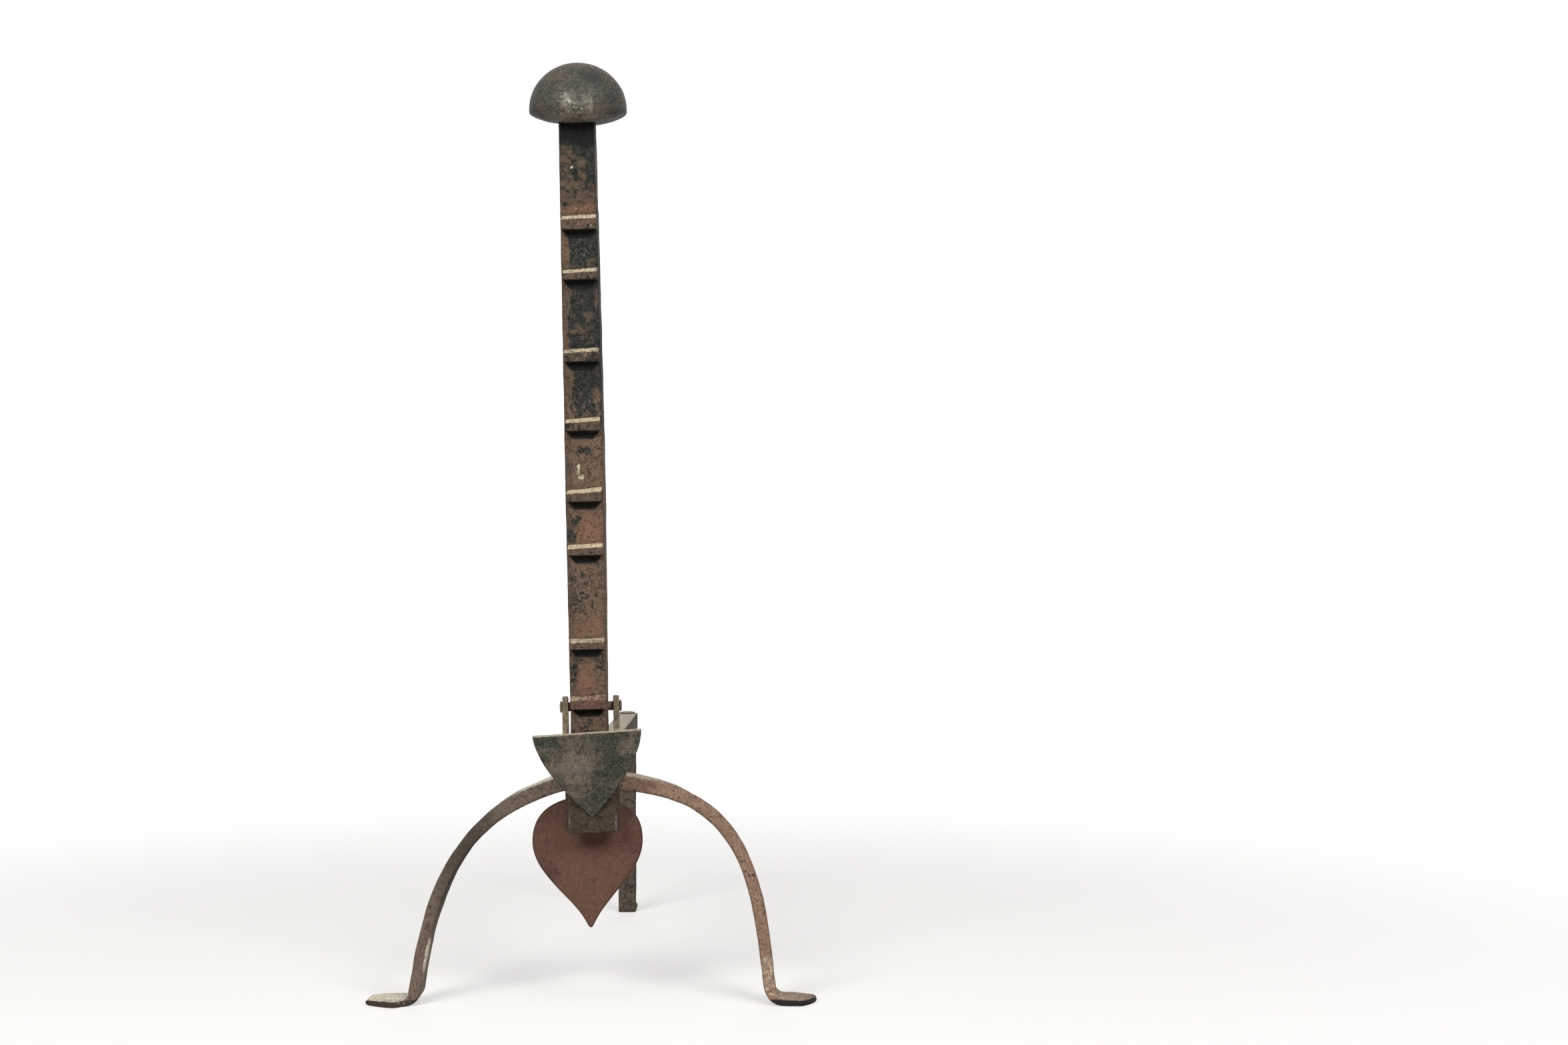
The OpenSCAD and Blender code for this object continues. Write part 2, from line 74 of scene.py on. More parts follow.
def scramble(cells: Array, seed: int) -> Array:
    """Gives each whole-numbered cell a random number: odd factors and shifted bits mix its three numbers.

    Args:
        cells: Whole numbers, the last axis being x, y and z.
        seed: Which of many patterns to give.

    Returns:
        Numbers from 0 to 1, one for each cell.
    """
    x, y, z = (cells[..., i].astype(np.int64).astype(np.uint32) for i in range(3))
    mixed = x * np.uint32(0x8DA6B343) ^ y * np.uint32(0xD8163841) ^ z * np.uint32(0xCB1AB31F)
    mixed ^= np.uint32(seed * 0x9E3779B1 % 2**32)
    for shift, factor in ((15, 0x2C1B3C6D), (12, 0x297A2D39), (15, 0x85EBCA6B)):
        mixed ^= mixed >> np.uint32(shift)
        mixed = mixed * np.uint32(factor)
    return (mixed ^ mixed >> np.uint32(16)).astype(float) / 2**32


def soft_noise(points: Array, cell: float, seed: int) -> Array:
    """Smooth noise: random numbers at the corners of a cubic lattice, blended by 3t^2 - 2t^3 between them.

    Args:
        points: Points in millimetres.
        cell: Spacing of the lattice.
        seed: Which pattern.

    Returns:
        Numbers from -1 to 1.
    """
    base = np.floor(points / cell)
    part = points / cell - base
    part = part * part * (3 - 2 * part)
    total = np.zeros(points.shape[:-1])
    for corner in product((0, 1), repeat=3):
        weight = np.prod(np.where(corner, part, 1 - part), axis=-1)
        total += weight * scramble(base + corner, seed)
    return 2 * total - 1


def rough_noise(points: Array, cell: float, seed: int, octaves: int = 4) -> Array:
    """Rough noise from -1 to 1: soft noise, the same at half the spacing and half the height, and so on."""
    layers = [soft_noise(points, cell / 2**i, seed + i) / 2**i for i in range(octaves)]
    return sum(layers) / sum(0.5**i for i in range(octaves)) * ROUGH_GAIN


def pit_depths(points: Array, cell: float, seed: int, share: float) -> Array:
    """Rust pits: a share of the lattice's cells holds one round bowl, (1 - (distance / radius)^2)^2 deep.

    Args:
        points: Points in millimetres.
        cell: Spacing of the lattice, and so the greatest width of a pit.
        seed: Which pattern.
        share: Share of the cells that holds a pit.

    Returns:
        Depths from 0 to 1.
    """
    smallest, more = 0.2, 0.3
    base = np.floor(points / cell)
    deepest = np.zeros(points.shape[:-1])
    for step in product((-1, 0, 1), repeat=3):
        here = base + step
        middle = np.stack([scramble(here, seed + i) for i in range(3)], axis=-1)
        radius = smallest + more * scramble(here, seed + 3)
        away = np.linalg.norm(points / cell - here - middle, axis=-1) / radius
        bowl = np.clip(1 - away**2, 0, 1) ** 2 * (scramble(here, seed + 4) < share)
        deepest = np.maximum(deepest, bowl)
    return deepest


def fade(value: Array, low: float | Array, high: float | Array) -> Array:
    """A soft step from 0 at low to 1 at high, 3t^2 - 2t^3 between; low may lie above high."""
    t = np.clip((np.asarray(value) - low) / (high - low), 0, 1)
    return t * t * (3 - 2 * t)


def blot(value: Array, middle: tuple[float, ...], reach: tuple[float, ...]) -> Array:
    """A round stain: e^(-d^2) of the distance from its middle, in its own reach along each axis."""
    return np.exp(-np.sum(((value - np.array(middle)) / np.array(reach)) ** 2, axis=-1))


def stained(value: Array, stains: tuple[Stain, ...]) -> Array:
    """The sum of several round stains, each as strong as it says."""
    return sum(much * blot(value, middle, reach) for middle, reach, much in stains)


# ---- shells --------------------------------------------------------------------------------------


class Cap(Enum):
    """How the first and the last ring of a shell are closed."""

    FAN = "triangles from each end ring to its middle"
    LADDER = "strips between the two halves of each folded end ring"
    JOINED = "the last ring joins the first"


@dataclass
class Shell:
    """A closed surface made of rings of points, each ring joined to the next."""

    rings: Array
    cap: Cap = Cap.FAN

    def points(self) -> Array:
        """All its points in one list, and for a fan the middles of the first and the last ring.

        Returns:
            The points.
        """
        flat = self.rings.reshape(-1, 3)
        if self.cap is not Cap.FAN:
            return flat
        return np.concatenate([flat, self.rings[[0, -1]].mean(axis=1)])

    def faces(self) -> Array:
        """Its faces: each ring is joined to the next by a strip of faces, and the ends as the cap says.

        Returns:
            Four points to a face, where a triangle names its last point twice.
        """
        rows, cols = self.rings.shape[:2]
        col = np.arange(cols)
        after = (col + 1) % cols
        row = np.arange(rows if self.cap is Cap.JOINED else rows - 1)[:, None]
        here, there = row * cols, (row + 1) % rows * cols
        faces = [np.stack([here + col, here + after, there + after, there + col], axis=-1).reshape(-1, 4)]
        last = (rows - 1) * cols
        if self.cap is Cap.FAN:
            first_middle, last_middle = np.full(cols, rows * cols), np.full(cols, rows * cols + 1)
            faces.append(np.stack([first_middle, after, col, col], axis=-1))
            faces.append(np.stack([last_middle, last + col, last + after, last + after], axis=-1))
        if self.cap is Cap.LADDER:
            rung = np.arange(cols // 2 - 1)
            low = np.stack([rung + 1, rung, cols - 1 - rung, cols - 2 - rung], axis=-1)
            faces += [low, low[:, ::-1] + last]
        return np.concatenate(faces)


def outward(points: Array, faces: Array) -> Array:
    """The faces turned so that they point out of the solid, which its signed volume being above 0 shows.

    Args:
        points: The points.
        faces: Four points to a face, where a triangle names its last point twice.

    Returns:
        The faces, all in the opposite order where the volume was below 0.
    """
    a, b, c, d = (points[faces[:, i]] for i in range(4))
    if np.einsum("ij,ij->i", a, np.cross(b, c) + np.cross(c, d)).sum() > 0:
        return faces
    triangle = faces[:, 2:3] == faces[:, 3:]
    return np.where(triangle, faces[:, [1, 0, 2, 2]], faces[:, [1, 0, 3, 2]])


def scatter(points: Array, faces: Array, values: Array) -> Array:
    """Adds up, at every point, the values of the faces round it.

    Args:
        points: The points.
        faces: Four points to a face.
        values: One row of numbers for each face.

    Returns:
        One row of numbers for each point.
    """
    total = np.zeros((len(points), values.shape[-1]))
    for corner, axis in product(range(4), range(values.shape[-1])):
        total[:, axis] += np.bincount(faces[:, corner], values[:, axis], len(points))
    return total


def normals_of(points: Array, faces: Array) -> Array:
    """The direction out of the surface at each point: the mean of the faces round it, weighed by size.

    Args:
        points: The points.
        faces: Four points to a face.

    Returns:
        One direction for each point, of length 1.
    """
    a, b, c, d = (points[faces[:, i]] for i in range(4))
    normal = scatter(points, faces, np.cross(c - a, d - b))
    return normal / np.maximum(np.linalg.norm(normal, axis=1, keepdims=True), 1e-9)


def bulge_of(points: Array, faces: Array, normals: Array) -> Array:
    """How far the surface bulges, per millimetre: above 0 on ridges and corners, below 0 in hollows.

    Each point is set against the mean of the middles of the faces round it. The result is averaged over the
    neighbours a few times, so that it reaches a millimetre or two to each side of an edge.

    Args:
        points: The points.
        faces: Four points to a face.
        normals: The direction out of the surface at each point.

    Returns:
        One number for each point.
    """
    blurs, least_reach = 3, 0.05
    middles = points[faces].mean(axis=1)
    count = np.maximum(scatter(points, faces, np.ones((len(faces), 1))), 1)
    offset = scatter(points, faces, middles) / count - points
    away = np.sum((middles - points[faces[:, 0]]) ** 2, axis=1)
    reach = scatter(points, faces, away[:, None]) / count
    bulge = -np.sum(offset * normals, axis=1) / np.maximum(reach[:, 0], least_reach)
    for _ in range(blurs):
        bulge = (scatter(points, faces, bulge[faces].mean(axis=1)[:, None]) / count)[:, 0]
    return bulge


# ---- outlines and bars ---------------------------------------------------------------------------


def run_of(points: Array) -> Array:
    """The running length of a line of points, or of each line in a stack of them, from 0 at its start."""
    step = np.linalg.norm(np.diff(points, axis=-2), axis=-1)
    return np.concatenate([0 * step[..., :1], np.cumsum(step, axis=-1)], axis=-1)


def spaced(points: Array, count: int, closed: bool = False) -> Array:
    """Places points evenly along a line or an outline, by its running length.

    Args:
        points: The line's own points; further columns, such as a thickness, are carried along.
        count: How many points to give.
        closed: Whether the last point joins the first.

    Returns:
        The evenly spaced points.
    """
    line = np.concatenate([points, points[:1]]) if closed else points
    run = run_of(line[:, :2])
    goal = np.linspace(0, run[-1], count + 1 if closed else count)[:count]
    return np.stack([np.interp(goal, run, line[:, i]) for i in range(line.shape[1])], axis=1)


def rounded(corners: Array, steps: int = 6) -> Array:
    """An outline with rounded corners, each a parabola between the points where its radius would touch.

    Args:
        corners: The corners in order, each as two coordinates and a radius.
        steps: Stretches to a corner.

    Returns:
        The points of the closed outline.
    """
    spot, radius = corners[:, :2], corners[:, 2:]
    back, ahead = (np.roll(spot, turn, axis=0) - spot for turn in (1, -1))
    back, ahead = (way / np.linalg.norm(way, axis=1, keepdims=True) for way in (back, ahead))
    half = np.arccos(np.clip(np.sum(back * ahead, axis=1, keepdims=True), -1, 1)) / 2
    start, end = (spot + way * radius / np.tan(half) for way in (back, ahead))
    t = np.linspace(0, 1, steps + 1)[:, None]
    bend = (1 - t) ** 2 * start[:, None] + 2 * t * (1 - t) * spot[:, None] + t**2 * end[:, None]
    return bend.reshape(-1, 2)


def corner_ring(side_steps: int, corner_steps: int) -> tuple[Array, Array]:
    """The pattern of a bar's round-cornered section, going once round it.

    Args:
        side_steps: Stretches along each flat side.
        corner_steps: Stretches round each corner.

    Returns:
        Which corner's centre each point belongs to, as signs that pass from one to the next along a side,
        and the direction from that centre.
    """
    signs, turns = [], []
    centres = np.array([[1, 1], [-1, 1], [-1, -1], [1, -1]], float)
    for i in range(4):
        angle = np.radians(90 * (i + np.arange(corner_steps + 1) / corner_steps))
        signs.append(np.repeat(centres[i : i + 1], corner_steps + 1, axis=0))
        turns.append(np.stack([np.cos(angle), np.sin(angle)], axis=1))
        share = (np.arange(1, side_steps) / side_steps)[:, None]
        signs.append(centres[i] * (1 - share) + centres[(i + 1) % 4] * share)
        turns.append(np.repeat(turns[-1][-1:], side_steps - 1, axis=0))
    return np.concatenate(signs), np.concatenate(turns)


def bar(centres: Array, across: Array, over: Array, size: Array, corner: float | Array,
        steps: tuple[int, int]) -> Shell:
    """A bar: its round-cornered section carried along a line of centres.

    Args:
        centres: The line of centres.
        across: Direction of the section's width, one for the whole bar or one at each centre.
        over: Direction of the section's depth, in the same way.
        size: Width and depth of the section at each centre.
        corner: Radius of the section's corners, or one for each centre.
        steps: Stretches along each side and round each corner.

    Returns:
        The bar's shell, closed by fans.
    """
    signs, turns = corner_ring(*steps)
    across, over = (np.broadcast_to(way, centres.shape)[:, None] for way in (across, over))
    half = size[:, None, :] / 2
    radius = np.minimum(corner, half.min(axis=2, keepdims=True) * 0.9)
    local = signs * (half - radius) + turns * radius
    return Shell(centres[:, None] + across * local[..., :1] + over * local[..., 1:])


def end_inset(way: Array, radius: float) -> Array:
    """How far a bar's section draws in near its two ends, as a quarter circle of that radius."""
    near = np.clip(np.minimum(way - way[0], way[-1] - way), 0, radius)
    return radius - np.sqrt(radius**2 - (radius - near) ** 2)


def end_spacing(length: float, step: float, radius: float) -> Array:
    """Places along a bar: even steps, with four closer ones in the rounding of each end.

    Args:
        length: Length of the bar.
        step: Length of an even step, about.
        radius: Radius of the rounding at its ends.

    Returns:
        The places, from 0 to the length.
    """
    close = radius * np.array([0, 0.08, 0.3, 0.6])
    middle = np.linspace(radius, length - radius, max(3, round(length / step)))
    return np.concatenate([close, middle, length - close[::-1]])


def blunt_end(left: Array, reach: float, least: float = 0.0) -> Array:
    """Share of the thickness left near a bar's end, a quarter circle: sqrt(1 - (1 - left / reach)^2)."""
    return np.maximum(np.sqrt(1 - np.clip(1 - left / reach, 0, 1) ** 2), least)


def swung(a: Array, b: Array, degrees: float) -> tuple[Array, Array]:
    """Turns points in a plane about its origin: a cos t - b sin t, and a sin t + b cos t."""
    turn = math.radians(degrees)
    return a * math.cos(turn) - b * math.sin(turn), a * math.sin(turn) + b * math.cos(turn)


def turned(profile: Array, steps: int) -> Array:
    """Rings of a turned piece: each point of the profile goes once round the upright axis.

    Args:
        profile: Heights and radii.
        steps: Points to a ring.

    Returns:
        One ring of points for each point of the profile.
    """
    angle = np.linspace(0, 2 * np.pi, steps, endpoint=False)
    height, radius = profile[:, :1], profile[:, 1:]
    return np.stack([radius * np.cos(angle), radius * np.sin(angle), height + 0 * angle], axis=-1)


def peened_dome(radius: float, height: float) -> Array:
    """Profile of a peened end, from its top out: a quarter ellipse on a short base.

    Args:
        radius: Radius at the base.
        height: Height of the dome with its base.

    Returns:
        Heights and radii.
    """
    turn = np.radians(np.linspace(86, 0, 10))
    base = height * 0.35
    return np.stack([base + (height - base) * np.sin(turn), radius * np.cos(turn)], axis=1)


def plate(outline: Array, middle: Pair, half: float, crown: float, edge: float,
          steps: tuple[int, int] = (34, 6)) -> Shell:
    """A plate: rings grow from the middle of its front to its outline, go round the edge and shrink behind.

    Args:
        outline: The front view's outline, as x and z.
        middle: The point that the rings grow from.
        half: Half the thickness at the middle.
        crown: How much less half the thickness is at the edge.
        edge: Radius of the rounding at the edge.
        steps: Rings on a face and round a quarter of the edge.

    Returns:
        The plate's shell, closed by small fans, with its front towards -Y.
    """
    smallest_ring, crowding = 0.02, 0.8
    ray = outline - np.array(middle)
    reach = np.linalg.norm(ray, axis=1, keepdims=True)
    share = np.linspace(smallest_ring, 1, steps[0]) ** crowding
    turn = np.radians(90 * np.arange(1, steps[1] + 1) / steps[1])
    inset = np.concatenate([np.full(steps[0], edge), edge * (1 - np.sin(turn))])
    share = np.concatenate([share, np.ones(steps[1])])
    depth = half - crown * share**2
    depth[steps[0] :] -= edge * (1 - np.cos(turn))
    scale = share[:, None] * (1 - inset[:, None] / reach[:, 0])
    x, z = (middle[i] + ray[:, i] * scale for i in (0, 1))
    front = np.stack([x, -depth[:, None] + 0 * scale, z], axis=-1)
    return Shell(np.concatenate([front, front[::-1] * [1, -1, 1]]))


# ---- placement and relief ------------------------------------------------------------------------


@dataclass(frozen=True)
class Placement:
    """Where the leaning shaft and the hook that hangs askew on it stand."""

    shaft_lean: float = 1.16
    lean_height: float = 126.0
    hook_yaw: float = 4.7
    hook_shift: float = 1.1
    billet_end: float = 425.0

    def on_hearth(self, points: Array) -> Array:
        """Moves upright points back, so that the billet bar ends where the frame has it."""
        middle = self.billet_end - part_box("billet_bar")[1].y / METRES
        return points - np.array([0, middle, 0])

    def along_shaft(self, points: Array) -> Array:
        """Leans points with the shaft, about the level at which its axis crosses the middle."""
        x, z = swung(points[..., 0], points[..., 2] - self.lean_height, self.shaft_lean)
        return self.on_hearth(np.stack([x, points[..., 1], z + self.lean_height], axis=-1))

    def on_hook(self, points: Array) -> Array:
        """Turns and shifts the hook's points as its play lets it hang, and leans them with the shaft."""
        x, y = swung(points[..., 0], points[..., 1], self.hook_yaw)
        return self.along_shaft(np.stack([x + self.hook_shift, y, points[..., 2]], axis=-1))


@dataclass(frozen=True)
class Relief:
    """How deep the hammer, the fire's scale and the rust have worked into a surface that was first raised.

    The soles stay flat on the hearth.
    """

    seed: int
    raised: float = 0.0
    hammer: float = 0.35
    hammer_cell: float = 17.0
    scale: float = 0.12
    scale_cell: float = 3.0
    pit: float = 0.4
    pit_cell: float = 4.2
    pit_share: float = 0.4
    patch_cell: float = 22.0
    sole: Pair = (0.3, 3.0)

    def depth(self, points: Array) -> tuple[Array, Array]:
        """How deep the surface lies under the drawn one.

        Args:
            points: Points of the drawn surface.

        Returns:
            The depth at each point, and how much of it is a rust pit, from 0 to 1.
        """
        hammered = 0.5 + 0.5 * np.clip(rough_noise(points, self.hammer_cell, self.seed, 2), -1, 1)
        scaled = 0.5 + 0.5 * np.clip(rough_noise(points, self.scale_cell, self.seed + 10, 3), -1, 1)
        patches = 0.25 + 0.75 * fade(soft_noise(points, self.patch_cell, self.seed + 20), -0.3, 0.5)
        pits = pit_depths(points, self.pit_cell, self.seed + 30, self.pit_share) * patches
        off_sole = fade(points[..., 2], *self.sole)
        depth = self.hammer * hammered + self.scale * scaled + self.pit * pits - self.raised
        return depth * off_sole, pits * off_sole


# ---- how wrought iron looks ----------------------------------------------------------------------

# Numbers of a Mix node's sockets for colours: its factor, its two colours and its result
FACTOR, COLOUR_A, COLOUR_B, RESULT = 0, 6, 7, 2


def linear(colour: str) -> tuple[float, float, float, float]:
    """The linear colour of an sRGB hex value, such as #6b5648."""
    parts = [int(colour[i : i + 2], 16) / 255 for i in (1, 3, 5)]
    return (*[p / 12.92 if p <= 0.04045 else ((p + 0.055) / 1.055) ** 2.4 for p in parts], 1.0)


def add_node(tree: bpy.types.NodeTree, kind: str, inputs: dict[str | int, Any],
             **settings: Any) -> bpy.types.Node:
    """Adds a node to a material or a world.

    Args:
        tree: The node tree.
        kind: The node's type name.
        inputs: Sockets by name or number; a socket as the value is linked, and anything else is set.
        settings: Properties of the node itself.

    Returns:
        The new node.
    """
    node = tree.nodes.new(kind)
    for name, value in settings.items():
        setattr(node, name, value)
    for name, value in inputs.items():
        if isinstance(value, bpy.types.NodeSocket):
            tree.links.new(value, node.inputs[name])
        else:
            node.inputs[name].default_value = value
    return node


@dataclass(frozen=True)
class WroughtIron:
    """Hand-forged wrought iron, dull and dry: rust and green-black fire scale in patches, dark flecks and
    pits, edges rubbed to a tan shine, pale ash crust where dust lies, and small specks.

    The eye gets a rough, hardly shining skin whose colour changes every few millimetres. Pattern sizes are
    the real ones in millimetres, except the grain, which is drawn at about twice its real half millimetre so
    that it shows. Raggedness is how much the fine flecks fray the edges of the patches.
    """

    name: str
    rust: tuple[str, str, str] = ("#4a3c32", "#67584c", "#7d6b5b")
    patina: tuple[str, str] = ("#2c2d29", "#55564f")
    worn: str = "#8f7660"
    crust: tuple[str, str] = ("#8d8171", "#c3bca6")
    speck: str = "#b9ad98"
    fresh: str = "#94594a"
    mottle_size: float = 7.0
    mottle_edge: Pair = (0.32, 0.68)
    mottle_weight: float = 2.6
    raggedness: float = 0.4
    fleck_size: float = 2.7
    fleck_share: float = 0.5
    grain_size: float = 1.7
    grain_share: float = 0.7
    speck_spacing: float = 12.0
    speck_size: float = 0.07
    roughness: Pair = (0.6, 0.9)
    specular: float = 0.12
    bump: float = 0.35

    def material(self) -> bpy.types.Material:
        """Builds the material, or finds it where it is already built.

        Returns:
            The material. It reads the marks patina, worn, crust, pit and fresh of the piece's points.
        """
        if self.name in bpy.data.materials:
            return bpy.data.materials[self.name]
        made = bpy.data.materials.new(self.name)
        made.use_nodes = True
        tree = made.node_tree
        tree.nodes.clear()
        place = add_node(tree, "ShaderNodeTexCoord", {}).outputs["Object"]
        noises = {}
        for name, size, detail, rough in (("mottle", self.mottle_size, 7.0, 0.62),
                                          ("fleck", self.fleck_size, 4.0, 0.6),
                                          ("grain", self.grain_size, 3.0, 0.6)):
            noise = add_node(tree, "ShaderNodeTexNoise", {
                "Vector": place, "Scale": 1 / (size * METRES), "Detail": detail, "Roughness": rough})
            noises[name] = noise.outputs["Fac"]
        torn = add_node(tree, "ShaderNodeMath", {
            0: noises["fleck"], 1: self.raggedness, 2: noises["mottle"]}, operation="MULTIPLY_ADD")
        ragged = add_node(tree, "ShaderNodeMath", {0: torn.outputs[0], 1: self.raggedness / 2},
                          operation="SUBTRACT")
        noises["ragged"] = ragged.outputs[0]
        colour = self._colour(tree, noises, place)
        smooth, rough = self.roughness
        gloss = add_node(tree, "ShaderNodeMapRange", {
            "Value": noises["fleck"], "From Min": 0.3, "From Max": 0.7, "To Min": smooth, "To Max": rough})
        height = add_node(tree, "ShaderNodeMath", {0: noises["fleck"], 1: noises["grain"]}, operation="ADD")
        bump = add_node(tree, "ShaderNodeBump", {
            "Height": height.outputs[0], "Distance": self.bump * METRES, "Strength": 1.0})
        shader = add_node(tree, "ShaderNodeBsdfPrincipled", {
            "Base Color": colour, "Roughness": gloss.outputs[0], "Specular IOR Level": self.specular,
            "Normal": bump.outputs[0]})
        add_node(tree, "ShaderNodeOutputMaterial", {"Surface": shader.outputs[0]})
        return made

    def _masks(self, tree: bpy.types.NodeTree,
               noises: dict[str, bpy.types.NodeSocket]) -> dict[str, bpy.types.NodeSocket]:
        """Breaks the piece's marks up with noise: mark + weight x (noise - 1/2), then a soft step.

        Args:
            tree: The material's node tree.
            noises: The noises by name.

        Returns:
            The masks by the marks' names.
        """
        rules = {"patina": ("ragged", self.mottle_weight, *self.mottle_edge),
                 "worn": ("fleck", 1.4, 0.35, 0.9), "crust": ("fleck", 1.5, 0.25, 0.8),
                 "pit": ("grain", 0.6, 0.1, 0.8), "fresh": ("fleck", 1.2, 0.2, 0.8)}
        masks = {}
        for name, (noise, weight, low, high) in rules.items():
            mark = add_node(tree, "ShaderNodeAttribute", {}, attribute_name=name).outputs["Fac"]
            moved = add_node(tree, "ShaderNodeMath", {0: noises[noise], 1: weight, 2: -weight / 2},
                             operation="MULTIPLY_ADD")
            total = add_node(tree, "ShaderNodeMath", {0: moved.outputs[0], 1: mark}, operation="ADD")
            masks[name] = add_node(tree, "ShaderNodeMapRange", {
                "Value": total.outputs[0], "From Min": low, "From Max": high},
                interpolation_type="SMOOTHSTEP").outputs[0]
        return masks

    def _colour(self, tree: bpy.types.NodeTree, noises: dict[str, bpy.types.NodeSocket],
                place: bpy.types.NodeSocket) -> bpy.types.NodeSocket:
        """Lays the colours over each other: rust, light grains, fresh rust, patina, dark flecks, pits with
        painted shade in the same layer, worn edges with painted highlights, crust with painted glints, and
        specks.

        Args:
            tree: The material's node tree.
            noises: The noises by name.
            place: The point's place on the object.

        Returns:
            The socket that gives the colour.
        """
        masks = self._masks(tree, noises)
        for name, noise, low, high, share in (("patches", "mottle", 0.35, 0.65, 1.0),
                                              ("light", "grain", 0.42, 0.66, self.grain_share),
                                              ("dark", "fleck", 0.51, 0.6, self.fleck_share),
                                              ("grains", "grain", 0.4, 0.62, 1.0)):
            masks[name] = add_node(tree, "ShaderNodeMapRange", {
                "Value": noises[noise], "From Min": low, "From Max": high, "To Max": share}).outputs[0]
        cells = add_node(tree, "ShaderNodeTexVoronoi", {
            "Vector": place, "Scale": 1 / (self.speck_spacing * METRES)})
        masks["specks"] = add_node(tree, "ShaderNodeMapRange", {
            "Value": cells.outputs["Distance"], "From Min": self.speck_size, "From Max": 0.0}).outputs[0]
        shades = {}
        for name, mask, (dark, light) in (("rust", "patches", self.rust[:2]),
                                          ("patina", "grains", self.patina),
                                          ("crust", "grains", self.crust)):
            shades[name] = add_node(tree, "ShaderNodeMix", {
                FACTOR: masks[mask], COLOUR_A: linear(dark), COLOUR_B: linear(light)},
                data_type="RGBA").outputs[RESULT]
        colour, darkest = shades["rust"], linear(self.patina[0])
        # On some pieces the pit layer also lays painted shade, and the worn and crust layers painted
        # highlights and glints
        for mask, over in (("light", linear(self.rust[2])), ("fresh", linear(self.fresh)),
                           ("patina", shades["patina"]), ("dark", darkest), ("pit", darkest),
                           ("worn", linear(self.worn)), ("crust", shades["crust"]),
                           ("specks", linear(self.speck))):
            colour = add_node(tree, "ShaderNodeMix", {
                FACTOR: masks[mask], COLOUR_A: colour, COLOUR_B: over}, data_type="RGBA").outputs[RESULT]
        return colour


# ---- finishes ------------------------------------------------------------------------------------

# Black fire scale in ragged patches over brown rust: the shaft looks nearly black above and brown below
SHAFT_IRON = WroughtIron(
    "shaft_scale_and_rust", rust=("#4c3f34", "#6b5745", "#816a57"), patina=("#151715", "#444540"),
    worn="#7d6552", crust=("#a29980", "#d6d0b2"), fresh="#7a5b4a", mottle_edge=(0.28, 0.72),
    mottle_weight=2.1, fleck_share=0.44)
# Smoothed by hands: the one piece with a soft grey shine, over a green-grey skin
KNOB_IRON = WroughtIron(
    "knob_hand_smoothed_patina", rust=("#352c23", "#50453a", "#695c4d"), patina=("#181812", "#4a4a3e"),
    worn="#878071", crust=("#8f8979", "#c9c5b5"), roughness=(0.58, 0.7), specular=0.42,
    mottle_edge=(0.25, 0.75), mottle_weight=2.0, fleck_share=0.4, speck="#c2bcac", speck_spacing=15.0,
    bump=0.16)
# Brown rust, rubbed by the hook until its tops show as thin pale lines
LEDGE_IRON = WroughtIron(
    "ledge_rubbed_edges", rust=("#40352d", "#5d4d41", "#766353"), patina=("#1d1c19", "#3b3731"),
    worn="#7d6b58", crust=("#9a8971", "#d8c9a9"), fresh="#735446")
# Grey-brown fire scale: the left leg looks dusty, and nearly white where ash has caked
LEFT_LEG_IRON = WroughtIron(
    "left_leg_fire_scale", rust=("#5e5046", "#77675b", "#8f7d6d"), patina=("#3b362f", "#62564c"),
    worn="#8a7b69", crust=("#b3a892", "#f0ebd6"), fresh="#735a4c", fleck_share=0.4)
# The same scale over a redder rust: the right leg looks warmer and less caked
RIGHT_LEG_IRON = WroughtIron(
    "right_leg_fire_scale", rust=("#71584a", "#8f7362", "#aa8e78"), patina=("#2b2826", "#6e5b4c"),
    worn="#a08c74", crust=("#9a8873", "#d2c3ab"), fleck_share=0.25)
# Fine even rust: the heart looks smooth, dull and red, with only faint clouds
HEART_IRON = WroughtIron(
    "heart_even_red_rust", rust=("#5b4135", "#6c4e41", "#7c6050"), patina=("#4a362e", "#58433a"),
    worn="#866a5a", mottle_size=16.0, mottle_edge=(0.1, 0.9), raggedness=0.1, fleck_share=0.15,
    grain_share=0.35, bump=0.12, speck="#d6c8bb", speck_spacing=10.0, speck_size=0.05)
# Scale burnt by the logs: a dull grey-black bar with ash on top
BILLET_IRON = WroughtIron(
    "billet_bar_burnt_scale", rust=("#453b33", "#5b4f45", "#70645a"), patina=("#2e2a26", "#48423b"),
    worn="#847463", crust=("#9a8f7d", "#cdc1ab"))
# Deeply pitted and rubbed: the links look pale brown with dark holes
LINK_IRON = WroughtIron(
    "link_pitted_iron", rust=("#786753", "#94826b", "#ad9b81"), patina=("#3d3832", "#57514a"),
    worn="#a39683", crust=("#8d8171", "#aaa08d"), fleck_size=3.4, fleck_share=0.75)
# Dark dry rust on a flat sheet: the channel stays in the shield's shade
CHANNEL_IRON = WroughtIron(
    "hook_plate_dark_rust", rust=("#362c25", "#483b32", "#5a4b3f"), patina=("#262320", "#3d3731"),
    worn="#7c6b5b", crust=("#71655a", "#8b8071"))
# Green-black patina worn through to taupe in soft clouds, with a rubbed rim
SHIELD_IRON = WroughtIron(
    "shield_green_black_patina", rust=("#6a5c50", "#7e7163", "#8c8071"), patina=("#2f312b", "#52534a"),
    worn="#a1957f", mottle_size=9.0, mottle_edge=(0.05, 0.95), mottle_weight=2.2, raggedness=0.2,
    fleck_share=0.2, crust=("#9a8e79", "#b4a88f"))


# ---- forging a piece -----------------------------------------------------------------------------


